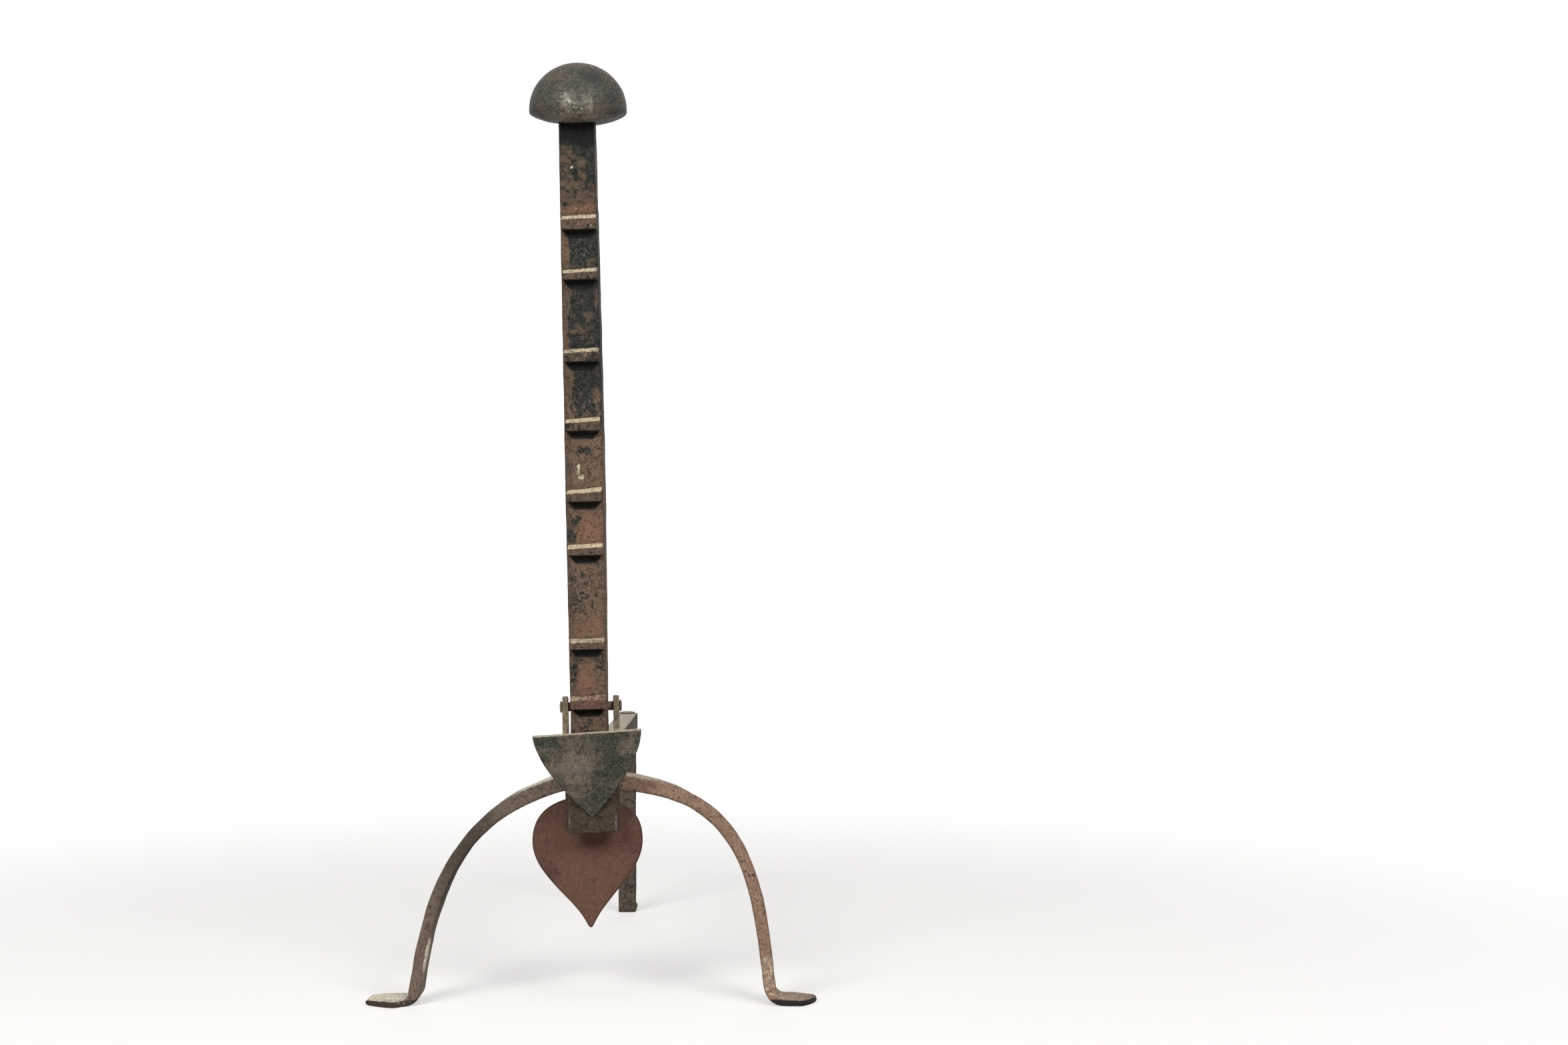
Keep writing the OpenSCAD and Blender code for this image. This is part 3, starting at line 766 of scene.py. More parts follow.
@dataclass(frozen=True)
class Forging:
    """What turns drawn shells into one finished piece of the andiron."""

    node: str
    body: str
    finish: WroughtIron
    relief: Relief
    place: Callable[[Array], Array]
    paint: Paint
    wear: float
    edge_bulge: Pair = (0.03, 0.16)

    def make(self, shells: list[Shell]) -> None:
        """Works the relief into the shells, marks them, and makes them a piece that rides on its body.

        Args:
            shells: The drawn shells, in millimetres.
        """
        points = np.concatenate([shell.points() for shell in shells])
        start, faces = 0, []
        for shell in shells:
            faces.append(outward(shell.points(), shell.faces()) + start)
            start += len(shell.points())
        faces = np.concatenate(faces)
        depth, pits = self.relief.depth(points)
        worked = points - normals_of(points, faces) * depth[:, None]
        normals = normals_of(worked, faces)
        worn = self.wear * fade(bulge_of(worked, faces, normals), *self.edge_bulge)
        nothing = np.zeros(len(points))
        marks = {"patina": nothing, "crust": nothing, "fresh": nothing, "pit": pits, "worn": worn}
        marks.update(self.paint(points, normals))
        piece = self._mesh(self.place(worked) * METRES, faces, marks)
        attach(piece, self.body)
        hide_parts(self.node)
        LOG.info("%s: %d faces, on %s", piece.name, len(faces), self.body)

    def _mesh(self, points: Array, faces: Array, marks: Marks) -> bpy.types.Object:
        """Puts points, faces and marks into a mesh and links its object.

        Args:
            points: Points in metres, in the frame.
            faces: Four points to a face, where a triangle names its last point twice.
            marks: Numbers from 0 to 1 by name, one for each point.

        Returns:
            The object.
        """
        triangle = faces[:, 2] == faces[:, 3]
        sizes = np.where(triangle, 3, 4)
        keep = np.ones(faces.shape, bool)
        keep[triangle, 3] = False
        starts = np.concatenate([[0], np.cumsum(sizes)[:-1]])
        mesh = bpy.data.meshes.new(f"{self.node}_forged")
        mesh.vertices.add(len(points))
        mesh.vertices.foreach_set("co", points.astype(np.float32).ravel())
        mesh.loops.add(int(sizes.sum()))
        mesh.loops.foreach_set("vertex_index", faces[keep].astype(np.int32))
        mesh.polygons.add(len(faces))
        mesh.polygons.foreach_set("loop_start", starts.astype(np.int32))
        mesh.polygons.foreach_set("use_smooth", np.ones(len(faces), bool))
        mesh.update(calc_edges=True)
        mesh.validate()
        for name, values in marks.items():
            layer = mesh.attributes.new(name, "FLOAT", "POINT")
            layer.data.foreach_set("value", np.clip(values, 0, 1).astype(np.float32))
        mesh.materials.append(self.finish.material())
        piece = bpy.data.objects.new(f"{self.node}_forged", mesh)
        bpy.context.scene.collection.objects.link(piece)
        return piece


# ---- shaft, knob and ledges ----------------------------------------------------------------------


@dataclass(frozen=True)
class Shaft:
    """The hand-hammered square bar that carries everything, a little thinner above its shoulder.

    Stains, reddened patches and scars lie on its front, as x and z. A pair named for a mark holds the
    heights over which it fades, apart from edge_rust, which fades over x.
    """

    place: Placement
    width: float = 26.5
    depth: float = 24.0
    foot: float = 158.0
    top: float = 668.0
    corner: float = 1.9
    step: float = 1.0
    waver: float = 0.4
    waver_cell: float = 55.0
    shoulder: Pair = (596.5, 598.5)
    shoulder_depth: Pair = (0.4, 1.0)
    shoulder_slope: float = 3.0
    swelling: Pair = (2.2, 0.6)
    swollen_at: Stain = ((420,), (160,), 1.0)
    scale_from: Pair = (424.0, 456.0)
    glaze_from: Pair = (440.0, 470.0)
    rust_from: Pair = (596.0, 600.0)
    rust_until: Pair = (652.0, 636.0)
    # Heights over which the painted shadow under the knob fades in
    knob_shadow_from: Pair = (645.0, 656.0)
    edge_rust: Pair = (-7.6, -9.4)
    edge_rust_from: Pair = (425.0, 445.0)
    edge_rust_until: Pair = (600.0, 590.0)
    bloom: Stain = ((0, 566), (10, 11), 1.0)
    stains: tuple[Stain, ...] = (
        ((5, 519), (3.2, 4.5), -0.5), ((-2, 508), (7, 3.2), -0.5), ((13, 527), (2.6, 8), -0.5),
        ((12, 457), (3.4, 6), -0.45), ((-7, 470), (3, 7), -0.3), ((-8, 446), (5, 5), -0.35),
        ((2, 417), (7, 3), 0.7), ((-6, 364), (4, 4), 0.55), ((-9.5, 354), (4, 7), 0.6),
        ((-10, 310), (4, 20), 0.3), ((2, 312), (13, 22), 0.2), ((0, 262), (13, 5), 0.45),
        ((-9.5, 250), (3.5, 13), 0.4), ((10, 257), (4, 11), 0.4), ((0, 203), (14, 10), 0.25),
        ((4, 642), (9, 8), 0.35), ((10, 626), (4, 13), 0.35), ((-2, 621), (5, 9), 0.15),
        ((0, 594), (16, 3), -0.7), ((0, 568), (8, 9), -0.1))
    reddened: tuple[Stain, ...] = (
        ((4, 358), (11, 14), 0.85), ((7, 286), (8, 10), 0.75), ((-6, 282), (7, 8), 0.5),
        ((-1, 243), (8, 15), 0.85), ((0, 206), (12, 9), 0.3), ((-1.3, 456), (1.7, 2.4), 1.0))
    scars: tuple[Stain, ...] = (
        ((-3.4, 405), (1.2, 2.6), 0.8), ((-1.6, 397), (2.2, 1.8), 1.0), ((-3.8, 400), (1, 2), 0.7),
        ((-4, 630), (1.2, 1.2), 0.8), ((11, 419), (0.9, 1.6), 0.6))

    def shoulder_at(self, x: Array) -> Array:
        """Height of the shoulder's line, which slopes from left to right."""
        return np.interp(x, [-self.width / 2, self.width / 2], self.shoulder)

    def shells(self) -> list[Shell]:
        """A square bar whose sides waver by half a millimetre and that is hammered wider about its middle.
        It is set back at the front and the right above the shoulder.

        Returns:
            The bar.
        """
        height = np.linspace(self.foot, self.top, round((self.top - self.foot) / self.step))
        line = height[:, None] * ALONG_Z
        waver = [self.waver * (0.5 + 0.5 * soft_noise(line, self.waver_cell, seed)) for seed in (3, 4)]
        swollen = stained(height[:, None], (self.swollen_at,))
        size = np.stack([self.width - waver[0] + self.swelling[0] * swollen, self.depth - waver[1]], axis=1)
        line = line + self.swelling[1] * swollen[:, None] * ALONG_X
        shell = bar(line, ALONG_X, ALONG_Y, size, self.corner, steps=(20, 4))
        x, y, z = np.moveaxis(shell.rings, -1, 0)
        edge = self.shoulder_at(x)
        above = fade(z, edge, edge + self.shoulder_slope)
        x -= self.shoulder_depth[0] * above * np.clip(x / self.width * 2, 0, 1)
        y += self.shoulder_depth[1] * above * np.clip(-y / self.depth * 2, 0, 1)
        return [shell]

    def paint(self, points: Array, normals: Array) -> Marks:
        """Black scale on the upper half and in stains below, rust in a band on the shoulder, along the left
        edge and in patches, painted shadow under the knob, sooty black and painted shadow under the ledges,
        and a few pale scars.

        Args:
            points: Points of the upright bar.
            normals: Their directions out of the surface.

        Returns:
            The marks patina, crust, pit and fresh.
        """
        x, _, z = points.T
        seen = points[:, [0, 2]]
        front = fade(-normals[:, 1], 0.3, 0.7)
        round_it = 1 - front
        uneven = z + round_it * (26 * soft_noise(points, 44, 9) + 22 * rough_noise(points, 13, 11, 3))
        edge = self.shoulder_at(x)
        band = fade(z, edge - 3, edge) * fade(z, edge + 5, edge + 2)
        left_edge = fade(x + 2.4 * rough_noise(points, 12, 13, 3), *self.edge_rust)
        left_edge *= fade(z, *self.edge_rust_until)
        start, full = self.rust_from
        above = fade(uneven, start - 16 * round_it, full + 16 * round_it) * fade(z, *self.rust_until)
        start, full = self.scale_from
        scale = fade(uneven, start - 34 * round_it, full + 36 * round_it)
        patina = 0.14 + 0.66 * scale - 0.42 * above - 0.2 * round_it
        patina += stained(seen, self.stains) * front + 0.25 * fade(np.abs(normals[:, 0]), 0.6, 0.9)
        patina -= (0.75 * left_edge * fade(z, *self.edge_rust_from) + 0.9 * band) * front
        fresh = 0.9 * band + stained(seen, self.reddened)
        # Sooty black and painted shadow under each ledge; the dark glaze of scale added next is the iron's
        # own colour
        soot_and_shade = 0.75 * sum(self.soot_and_shade(x, height - face / 2 - z)
                          for height, face in zip(Ledges.heights, Ledges.faces))
        low, high = self.glaze_from
        soot_and_shade += 0.33 * fade(z, low, high) * (1 - stained(seen, (self.bloom,)))
        soot_and_shade += 0.3 * left_edge * fade(z, high, low)
        # Painted shadow under the knob, on the top of the shaft
        knob_shadow = 1.2 * fade(z + 4 * soft_noise(points, 7, 12), *self.knob_shadow_from)
        return {"patina": patina, "crust": stained(seen, self.scars) * front, "fresh": fresh * front,
                "pit": knob_shadow + soot_and_shade * front}

    def soot_and_shade(self, x: Array, below: Array) -> Array:
        """Soot and painted shadow under a ledge, in a patch that narrows downwards as the shadow does.

        Args:
            x: Places across the shaft.
            below: How far the points lie under the ledge.

        Returns:
            The sooty black and painted shadow, from 0 to 1.
        """
        half_width, taper, soft = 11.8, 0.7, 0.8
        width = half_width - taper * below
        across = fade(np.abs(x - Ledges.shift), width + soft, width - soft)
        return fade(below, -1, 0) * fade(below, 6.4, 5) * across

    def make(self) -> None:
        """Forges the shaft."""
        relief = Relief(1, raised=0.45, hammer=0.5)
        forging = Forging("shaft", "frame", SHAFT_IRON, relief, self.place.along_shaft, self.paint, wear=0.3)
        forging.make(self.shells())


@dataclass(frozen=True)
class Knob:
    """The domed knob on the shaft's tenon, smoothed by hands on its crown.

    Its stains are given as x, y and z.
    """

    place: Placement
    seat_height: float = 662.0
    radius: float = 37.2
    rise: float = 12.0
    dome: float = 36.0
    seat: float = 13.0
    fullness: float = 0.64
    back_rise: float = 3.8
    left_rise: float = 1.0
    shift: float = 0.7
    steps: int = 220
    back_from: Pair = (-20.0, 2.0)
    left_from: Pair = (-8.0, -18.0)
    crown_from: Pair = (34.0, 47.0)
    rubbed_below: Pair = (19.0, 2.0)
    # Rubbed brown below, lightened by painted bounce light
    rub_and_bounce_light_below: Pair = (16.0, 0.0)
    # Painted shade on the underside, fading in from this depth towards the back
    underside_shade_from: Pair = (-30.0, -16.0)
    # Pale specks, set in the two highlights as painted glints
    specks: tuple[Stain, ...] = (((-4, -36, 676), (3, 8, 4), 0.55), ((12, -34, 674), (3, 8, 3), 0.385))
    # Dark stains: partly dark patina on the right, partly painted shade at the dome's two sides
    dark: tuple[Stain, ...] = (((14, -26, 694), (10, 14, 7), 0.75), ((27, -20, 677), (7, 14, 9), 0.5),
                               ((-30, -18, 674), (6, 14, 8), 0.4))
    # Painted highlights: pale worn patches where the two lamps' highlights fall on the front
    painted_highlights: tuple[Stain, ...] = (((-4, -36, 678), (9, 18, 9), 0.64), ((12, -34, 676), (6, 18, 8), 0.576))

    def shells(self) -> list[Shell]:
        """A turned piece: a quarter ellipse for the dome, and a lower and fuller one below it, in to the
        seat. Its underside hangs lower in front than at the sides and behind, and is a little higher on the
        left.

        Returns:
            The knob.
        """
        up = np.radians(np.linspace(89.2, 0, 70))
        down = np.radians(np.linspace(-3, -90, 34))
        dome = np.stack([self.rise + self.dome * np.sin(up), self.radius * np.cos(up)], axis=1)
        under = np.stack([self.rise + self.rise * np.sin(down),
                          self.seat + (self.radius - self.seat) * np.cos(down) ** self.fullness], axis=1)
        flat = np.linspace(under[-1], [0, 1], 14)[1:]
        rings = turned(np.concatenate([dome, under, flat]), self.steps)
        low = fade(rings[..., 2], self.rise, 2)
        behind, left = fade(rings[..., 1], *self.back_from), fade(rings[..., 0], *self.left_from)
        rings[..., 2] += low * (self.back_rise * behind + self.left_rise * left)
        return [Shell(rings + self.seat_height * ALONG_Z + self.shift * ALONG_X)]

    def paint(self, points: Array, normals: Array) -> Marks:
        """Grey-green patina, brown on the crown and rubbed brown below, lightened there by painted bounce
        light;
        dark on the right, partly as painted shade at the dome's sides; painted highlights with pale specks as
        glints in front; and painted shade on the underside away from its front.

        Args:
            points: Points of the upright knob.
            normals: Their directions out of the surface.

        Returns:
            The marks patina, crust, pit and worn.
        """
        height = points[:, 2] - self.seat_height
        crown, below = fade(height, *self.crown_from), fade(height, *self.rubbed_below)
        patina = 0.74 - 0.35 * crown - 0.35 * below + 0.45 * soft_noise(points, 12, 8)
        # Painted shade on the downward faces of the underside
        under = 0.8 * fade(normals[:, 2], 0, -0.6) * fade(points[:, 1], *self.underside_shade_from)
        # worn: the rubbed underside with its painted bounce light, and the painted highlights
        return {"patina": patina, "crust": stained(points, self.specks),
                "pit": stained(points, self.dark) + under,
                "worn": 0.55 * fade(height, *self.rub_and_bounce_light_below) + stained(points, self.painted_highlights)}

    def make(self) -> None:
        """Forges the knob."""
        relief = Relief(20, hammer=0.5, hammer_cell=15, scale=0.04, pit=0.15, pit_cell=5, pit_share=0.1)
        forging = Forging("knob", "frame", KNOB_IRON, relief, self.place.along_shaft, self.paint, wear=0.4)
        forging.make(self.shells())


@dataclass(frozen=True)
class Ledges:
    """The eight short bars on the shaft's front, rubbed bright on top by the hook."""

    place: Placement
    width: float = 26.8
    shift: float = 0.7
    out: float = 7.0
    slope: float = 3.0
    corner: float = 1.3
    sunk: float = 1.0
    shaft_front: float = -12.0
    heights: tuple[float, ...] = (587.7, 548.8, 488.2, 436.2, 383.2, 342.4, 271.9, 228)
    faces: tuple[float, ...] = (11.5, 9, 10.5, 10, 10, 9, 8.5, 10.5)
    tilts: tuple[float, ...] = (2.5, 3.3, 2, 4, 5, 2.5, 1.5, 1.5)
    rubbed: tuple[float, ...] = (0.8, 0.72, 0.6, 0.76, 0.78, 0.82, 0.6, 0.42)
    grime: tuple[float, ...] = (0.15, 0.3, 0.42, 0.42, 0.32, 0.28, 0.2, -0.1)
    reddened: tuple[float, ...] = (0.25, 0, 0, 0, 0.1, 0.1, 0.25, 0.5)

    def shells(self, height: float, face: float, tilt: float) -> list[Shell]:
        """A side view whose worn top slopes to its front, carried across the shaft, with rounded ends.

        Args:
            height: Height of the middle of its face.
            face: Height of its face.
            tilt: Degrees by which its top rises to the right.

        Returns:
            The ledge.
        """
        half = face / 2
        corners = np.array([[self.sunk, -half, 0.3], [-self.out, -half, 1.2],
                            [-self.out, half - self.slope, 1.6], [-self.out / 3, half, 2.5],
                            [self.sunk, half, 0.3]])
        side = spaced(rounded(corners), 76, closed=True)
        place = end_spacing(self.width, 0.5, self.corner) - self.width / 2 + self.shift
        inset = end_inset(place, self.corner)[:, None]
        y = self.sunk + (side[:, 0] - self.sunk) * (1 - inset / self.out)
        z = side[:, 1] * (1 - inset / half)
        z += place[:, None] * math.tan(math.radians(tilt)) * (0.5 + 0.5 * side[:, 1] / half)
        return [Shell(np.stack([place[:, None] + 0 * y, y + self.shaft_front, z + height], axis=-1))]

    def paint(self, points: Array, normals: Array) -> Marks:
        """Tops rubbed pale by the hook, each as much as it is used, grime, red rust, and painted shade on the
        undersides.

        Args:
            points: Points of the upright ledge.
            normals: Their directions out of the surface.

        Returns:
            The marks patina, crust, pit and fresh.
        """
        nearest = np.abs(points[:, 2:] - np.array(self.heights)).argmin(axis=1)
        rubbed, grime, red = (np.array(much)[nearest] for much in (self.rubbed, self.grime, self.reddened))
        # below: painted shade on the ledges' downward faces
        top, below = fade(normals[:, 2], 0.05, 0.75), fade(normals[:, 2], -0.2, -0.7)
        return {"patina": grime, "crust": rubbed * top, "pit": below, "fresh": red}

    def make(self) -> None:
        """Forges the eight ledges, from the highest to the lowest."""
        for i, sizes in enumerate(zip(self.heights, self.faces, self.tilts)):
            relief = Relief(40 + i, raised=0.25, hammer=0.5, hammer_cell=9, pit=0.3, pit_cell=3)
            forging = Forging(f"ledge_{i + 1}", "frame", LEDGE_IRON, relief, self.place.along_shaft,
                              self.paint, wear=0.25)
            forging.make(self.shells(*sizes))


# ---- legs ----------------------------------------------------------------------------------------


@dataclass(frozen=True)
class Leg:
    """One arched leg of flat bar with its flattened foot; side is -1 for the left one.

    Ash is how strong the pale crust is on the foot, on the arch, in the streak inside the ankle, and as
    dust.
    """

    place: Placement
    node: str
    side: int
    finish: WroughtIron
    root: Pair
    handles: tuple[Pair, Pair]
    ankle: float
    bend: float = 8.0
    twist: float = 0.0
    twisted_at: Stain = ((85,), (38,), 1.0)
    spread: Pair = (4.0, 1.5)
    toe: tuple[Pair, Pair] = ((24, 12), (9, 5))
    tip: float = 169.5
    front: float = -12.0
    depth: float = 28.0
    thickness: tuple[float, float, float, float] = (12, 8.6, 5, 4)
    waver: float = 0.7
    weld: float = 3.0
    corner: float = 2.0
    step: float = 1.0
    ash: tuple[float, float, float, float] = (1.0, 1.0, 0.9, 0.0)
    brown_front: float = 0.0
    # How strong the sooty black and painted shade on the foot's sides are
    side_soot_and_shade: float = 0.7
    reddened: float = 0.0
    # How strong the fire's blackened scale and the painted shade on the arch's inner face are
    burnt_and_shade: float = 0.15
    burnt_at: Stain = ((92,), (34,), 1.0)
    scraped_at: Stain = ((-8, 38), (5, 12), 1.5)
    foot_below: Pair = (9.0, 6.0)
    brown_from: Pair = (-6.0, -15.0)
    arch_until: Pair = (78.0, 40.0)
    streak_below: Pair = (62.0, 30.0)
    dust_below: Pair = (50.0, 30.0)
    dust_above: Pair = (4.0, 9.0)
    # Heights over which the foot sides' sooty black and painted shade, and the painted shade inside the arch,
    # fade
    soot_and_shade_below: Pair = (5.4, 4.6)
    inner_shade_above: Pair = (60.0, 90.0)
    toe_scale_from: Pair = (146.0, 162.0)
    red_below: Pair = (105.0, 60.0)
    red_above: Pair = (9.0, 20.0)

    def centre_line(self) -> Array:
        """The leg's centre line to the right of the shaft: a cubic curve from the root, an arc at the
        ankle, and the foot.

        Returns:
            Points about a millimetre apart, each as x, z and thickness.
        """
        (h0x, h0z), (h1x, h1z) = self.handles
        root_t, ankle_t, foot_t, tip_t = self.thickness
        lean = math.atan2(h1x, h1z)
        low = foot_t / 2 + self.bend * (1 - math.sin(lean))
        p0, p1, p2, p3 = (np.array(p) for p in (self.root, (self.ankle - h0x, h0z),
                                                (self.ankle - h1x, h1z), (self.ankle, low)))
        t = np.linspace(0, 1, 120)[:, None]
        curve = (1 - t) ** 3 * p0 + 3 * (1 - t) ** 2 * t * p1 + 3 * (1 - t) * t**2 * p2 + t**3 * p3
        curve = np.concatenate([curve, ankle_t + (root_t - ankle_t) * (1 - t) ** 3], axis=1)
        share = np.linspace(0.05, 1, 20)[:, None]
        turn = lean + (math.pi / 2 - lean) * share
        centre = p3 + self.bend * np.array([math.cos(lean), math.sin(lean)])
        arc = np.concatenate([centre - self.bend * np.concatenate([np.cos(turn), np.sin(turn)], axis=1),
                              ankle_t + (foot_t - ankle_t) * share], axis=1)
        inner = curve[:1] - [self.weld, self.weld * (p1 - p0)[1] / (p1 - p0)[0], 0]
        line = np.concatenate([inner, curve, arc, [[self.tip, tip_t / 2, tip_t]]])
        return spaced(line, round(run_of(line[:, :2])[-1] / self.step))

    def shells(self) -> list[Shell]:
        """The bar's section carried along the centre line, hammered thick and thin by a soft noise, and
        twisted a little on the arch's shoulder. The foot spreads in plan, and each of its two edges draws in
        to the toe along a curve of its own.

        Returns:
            The leg.
        """
        line = self.centre_line()
        way = np.gradient(line[:, :2], axis=0)
        way /= np.linalg.norm(way, axis=1, keepdims=True)
        run = run_of(line[:, :2])
        left = run[-1] - run
        foot = fade(line[:, 0], self.ankle + 1, self.ankle + 16)
        front, back = (spread * foot - most * np.clip(1 - left / long, 0, 1) ** 1.6
                       for spread, (long, most) in zip(self.spread, self.toe))
        depth = self.depth + front + back
        middle = self.front + self.depth / 2 + (back - front) / 2
        waver = self.waver * soft_noise(line[:, [0, 0, 1]], 24, 5 + self.side) * fade(left, 40, 60)
        thickness = (line[:, 2] + waver) * blunt_end(left, 2.5, 0.25)
        centres = np.stack([self.side * line[:, 0], middle, line[:, 1]], axis=1)
        across = np.stack([-self.side * way[:, 1], 0 * left, way[:, 0]], axis=1)
        turn = np.radians(self.twist * stained(line[:, :1], (self.twisted_at,)))[:, None]
        over = ALONG_Y * np.cos(turn) - across * np.sin(turn)
        across = across * np.cos(turn) + ALONG_Y * np.sin(turn)
        corner = self.corner * (1 - 0.6 * foot[:, None, None])
        shell = bar(centres, across, over, np.stack([thickness, depth], axis=1), corner, steps=(20, 4))
        shell.rings[..., 2] = np.maximum(shell.rings[..., 2], 0)
        return [shell]

    def paint(self, points: Array, normals: Array) -> Marks:
        """Pale crust on the foot's and the arch's upper faces and in a streak inside the ankle, dust at the
        ankle, sooty black and painted shade round the foot's sides, scale blackened by the fire on the arch's
        outer half with painted shade on its inner face higher up, and red rust below it.

        Args:
            points: Points of the leg.
            normals: Their directions out of the surface.

        Returns:
            The marks patina, crust, pit and fresh.
        """
        _, y, z = points.T
        out = self.side * points[:, 0]
        inward = -self.side * normals[:, 0]
        on_foot, on_arch, in_ankle, as_dust = self.ash
        top, under = fade(normals[:, 2], 0.45, 0.9), fade(normals[:, 2], -0.2, -0.7)
        foot = on_foot * fade(z, *self.foot_below) * fade(out, self.ankle + 2, self.ankle + 9)
        foot *= 1 - self.brown_front * fade(y, *self.brown_from)
        arch = 0.8 * fade(out, *self.arch_until) * on_arch
        scrape = stained(np.stack([y + 0.12 * (z - 36), z], axis=1), (self.scraped_at,))
        streak = in_ankle * fade(inward, 0.25, 0.6) * (scrape + 0.3 * fade(z, *self.streak_below))
        dust = as_dust * fade(z, *self.dust_below) * fade(z, *self.dust_above)
        # Sooty black and painted shade on the foot's sides near the hearth
        soot_and_shade = self.side_soot_and_shade * fade(z, *self.soot_and_shade_below) * fade(normals[:, 2], 0.6, 0.3)
        soot_and_shade *= fade(out, self.ankle - 8, self.ankle - 2)
        # Painted shade on the arch's inner face, higher up
        inner = fade(inward, 0.5, 0.9) * fade(z, *self.inner_shade_above)
        burnt_and_shade = self.burnt_and_shade * (stained(out[:, None], (self.burnt_at,)) + 0.5 * inner)
        patina = 0.1 + 0.3 * under + 0.5 * fade(out, *self.toe_scale_from)
        fresh = self.reddened * fade(z, *self.red_below) * fade(z, *self.red_above)
        return {"patina": patina, "pit": soot_and_shade + burnt_and_shade, "fresh": fresh,
                "crust": top * (foot + arch) + streak + dust}

    def make(self) -> None:
        """Forges the leg."""
        relief = Relief(60 + self.side, raised=0.55, hammer=0.6, hammer_cell=13, scale=0.16, pit=0.5,
                        pit_cell=4.5)
        forging = Forging(self.node, "frame", self.finish, relief, self.place.on_hearth, self.paint,
                          wear=0.25)
        forging.make(self.shells())


# ---- heart ---------------------------------------------------------------------------------------


@dataclass(frozen=True)
class HeartDrop:
    """The heart-shaped drop below the shaft, with the neck that it was drawn down from."""

    place: Placement
    width: float = 82.8
    thickness: float = 10.0
    point: Pair = (-0.5, 57.5)
    widest: float = 65.7
    shoulder: float = 33.0
    powers: Pair = (1.4, 2.3)
    bluntness: Pair = (1.3, 8.0)
    middle: Pair = (0.0, 58.0)
    crown: float = 1.3
    edge: float = 2.2
    tilt: float = 2.4
    shaft: tuple[float, float, float] = (26.5, 24.0, 158.0)
    neck: float = 18.0
    rim_wide_below: Pair = (110.0, 60.0)
    shoulders_from: Pair = (135.0, 155.0)

    def outline(self) -> Array:
        """The front view, from the point up: a cosine to a power below the widest level, a rounded shoulder
        above it, and a point blunted by a bulge of sqrt(height) e^(-height / reach).

        Returns:
            Points of the closed outline, as x and z from the heart's point.
        """
        total = self.widest + self.shoulder
        height = total * (1 - np.cos(np.linspace(0, math.pi, 160))) / 2
        taper = np.cos(math.pi / 2 * (1 - np.clip(height / self.widest, 0, 1))) ** self.powers[0]
        blunt = self.bluntness[0] * np.sqrt(height) * np.exp(-height / self.bluntness[1])
        above = np.clip((height - self.widest) / self.shoulder, 0, 1) ** self.powers[1]
        half = np.where(height < self.widest, self.width / 2 * taper + blunt,
                        self.width / 2 * (1 - above) ** (1 / self.powers[1]))
        right = np.stack([half, height], axis=1)
        return spaced(np.concatenate([right, right[-2:0:-1] * [-1, 1]]), 360, closed=True)

    def shells(self) -> list[Shell]:
        """The crowned plate, turned about its point, and the neck, a bar that thins from shaft to plate.

        Returns:
            The heart and its neck.
        """
        heart = plate(self.outline(), self.middle, self.thickness / 2, self.crown, self.edge)
        x, y, z = np.moveaxis(heart.rings, -1, 0)
        x, z = swung(x, z, self.tilt)
        heart.rings = np.stack([x + self.point[0], y, z + self.point[1]], axis=-1)
        width, depth, foot = self.shaft
        height = np.linspace(foot + 1, foot - self.neck - 4, 24)
        share = np.clip((foot - height) / self.neck, 0, 1)
        x, _ = swung(0 * height, height - self.place.lean_height, self.place.shaft_lean)
        line = np.stack([x, 0 * height, height], axis=1)
        size = np.stack([width - 2 * share, depth + (self.thickness - 1 - depth) * share], axis=1) - 0.3
        return [heart, bar(line, ALONG_X, ALONG_Y, size, corner=2, steps=(16, 4))]

    def paint(self, points: Array, normals: Array) -> Marks:
        """Patina on the shoulders and near the rim.

        Args:
            points: Points of the heart.
            normals: Their directions out of the surface; not used.

        Returns:
            The mark patina.
        """
        x, _, z = points.T
        rim = fade(np.abs(x + 1) / self.width * 2 + 0.35 * fade(z, *self.rim_wide_below), 0.45, 1)
        return {"patina": 0.15 + 0.2 * fade(z, *self.shoulders_from) + 0.5 * rim}

    def make(self) -> None:
        """Forges the heart."""
        relief = Relief(80, raised=0.4, hammer=0.5, hammer_cell=22, scale=0.06, pit=0.2, pit_cell=3.5,
                        pit_share=0.2)
        forging = Forging("heart_drop", "frame", HEART_IRON, relief, self.place.on_hearth, self.paint,
                          wear=0.1)
        forging.make(self.shells())


# ---- billet bar and rear leg ---------------------------------------------------------------------


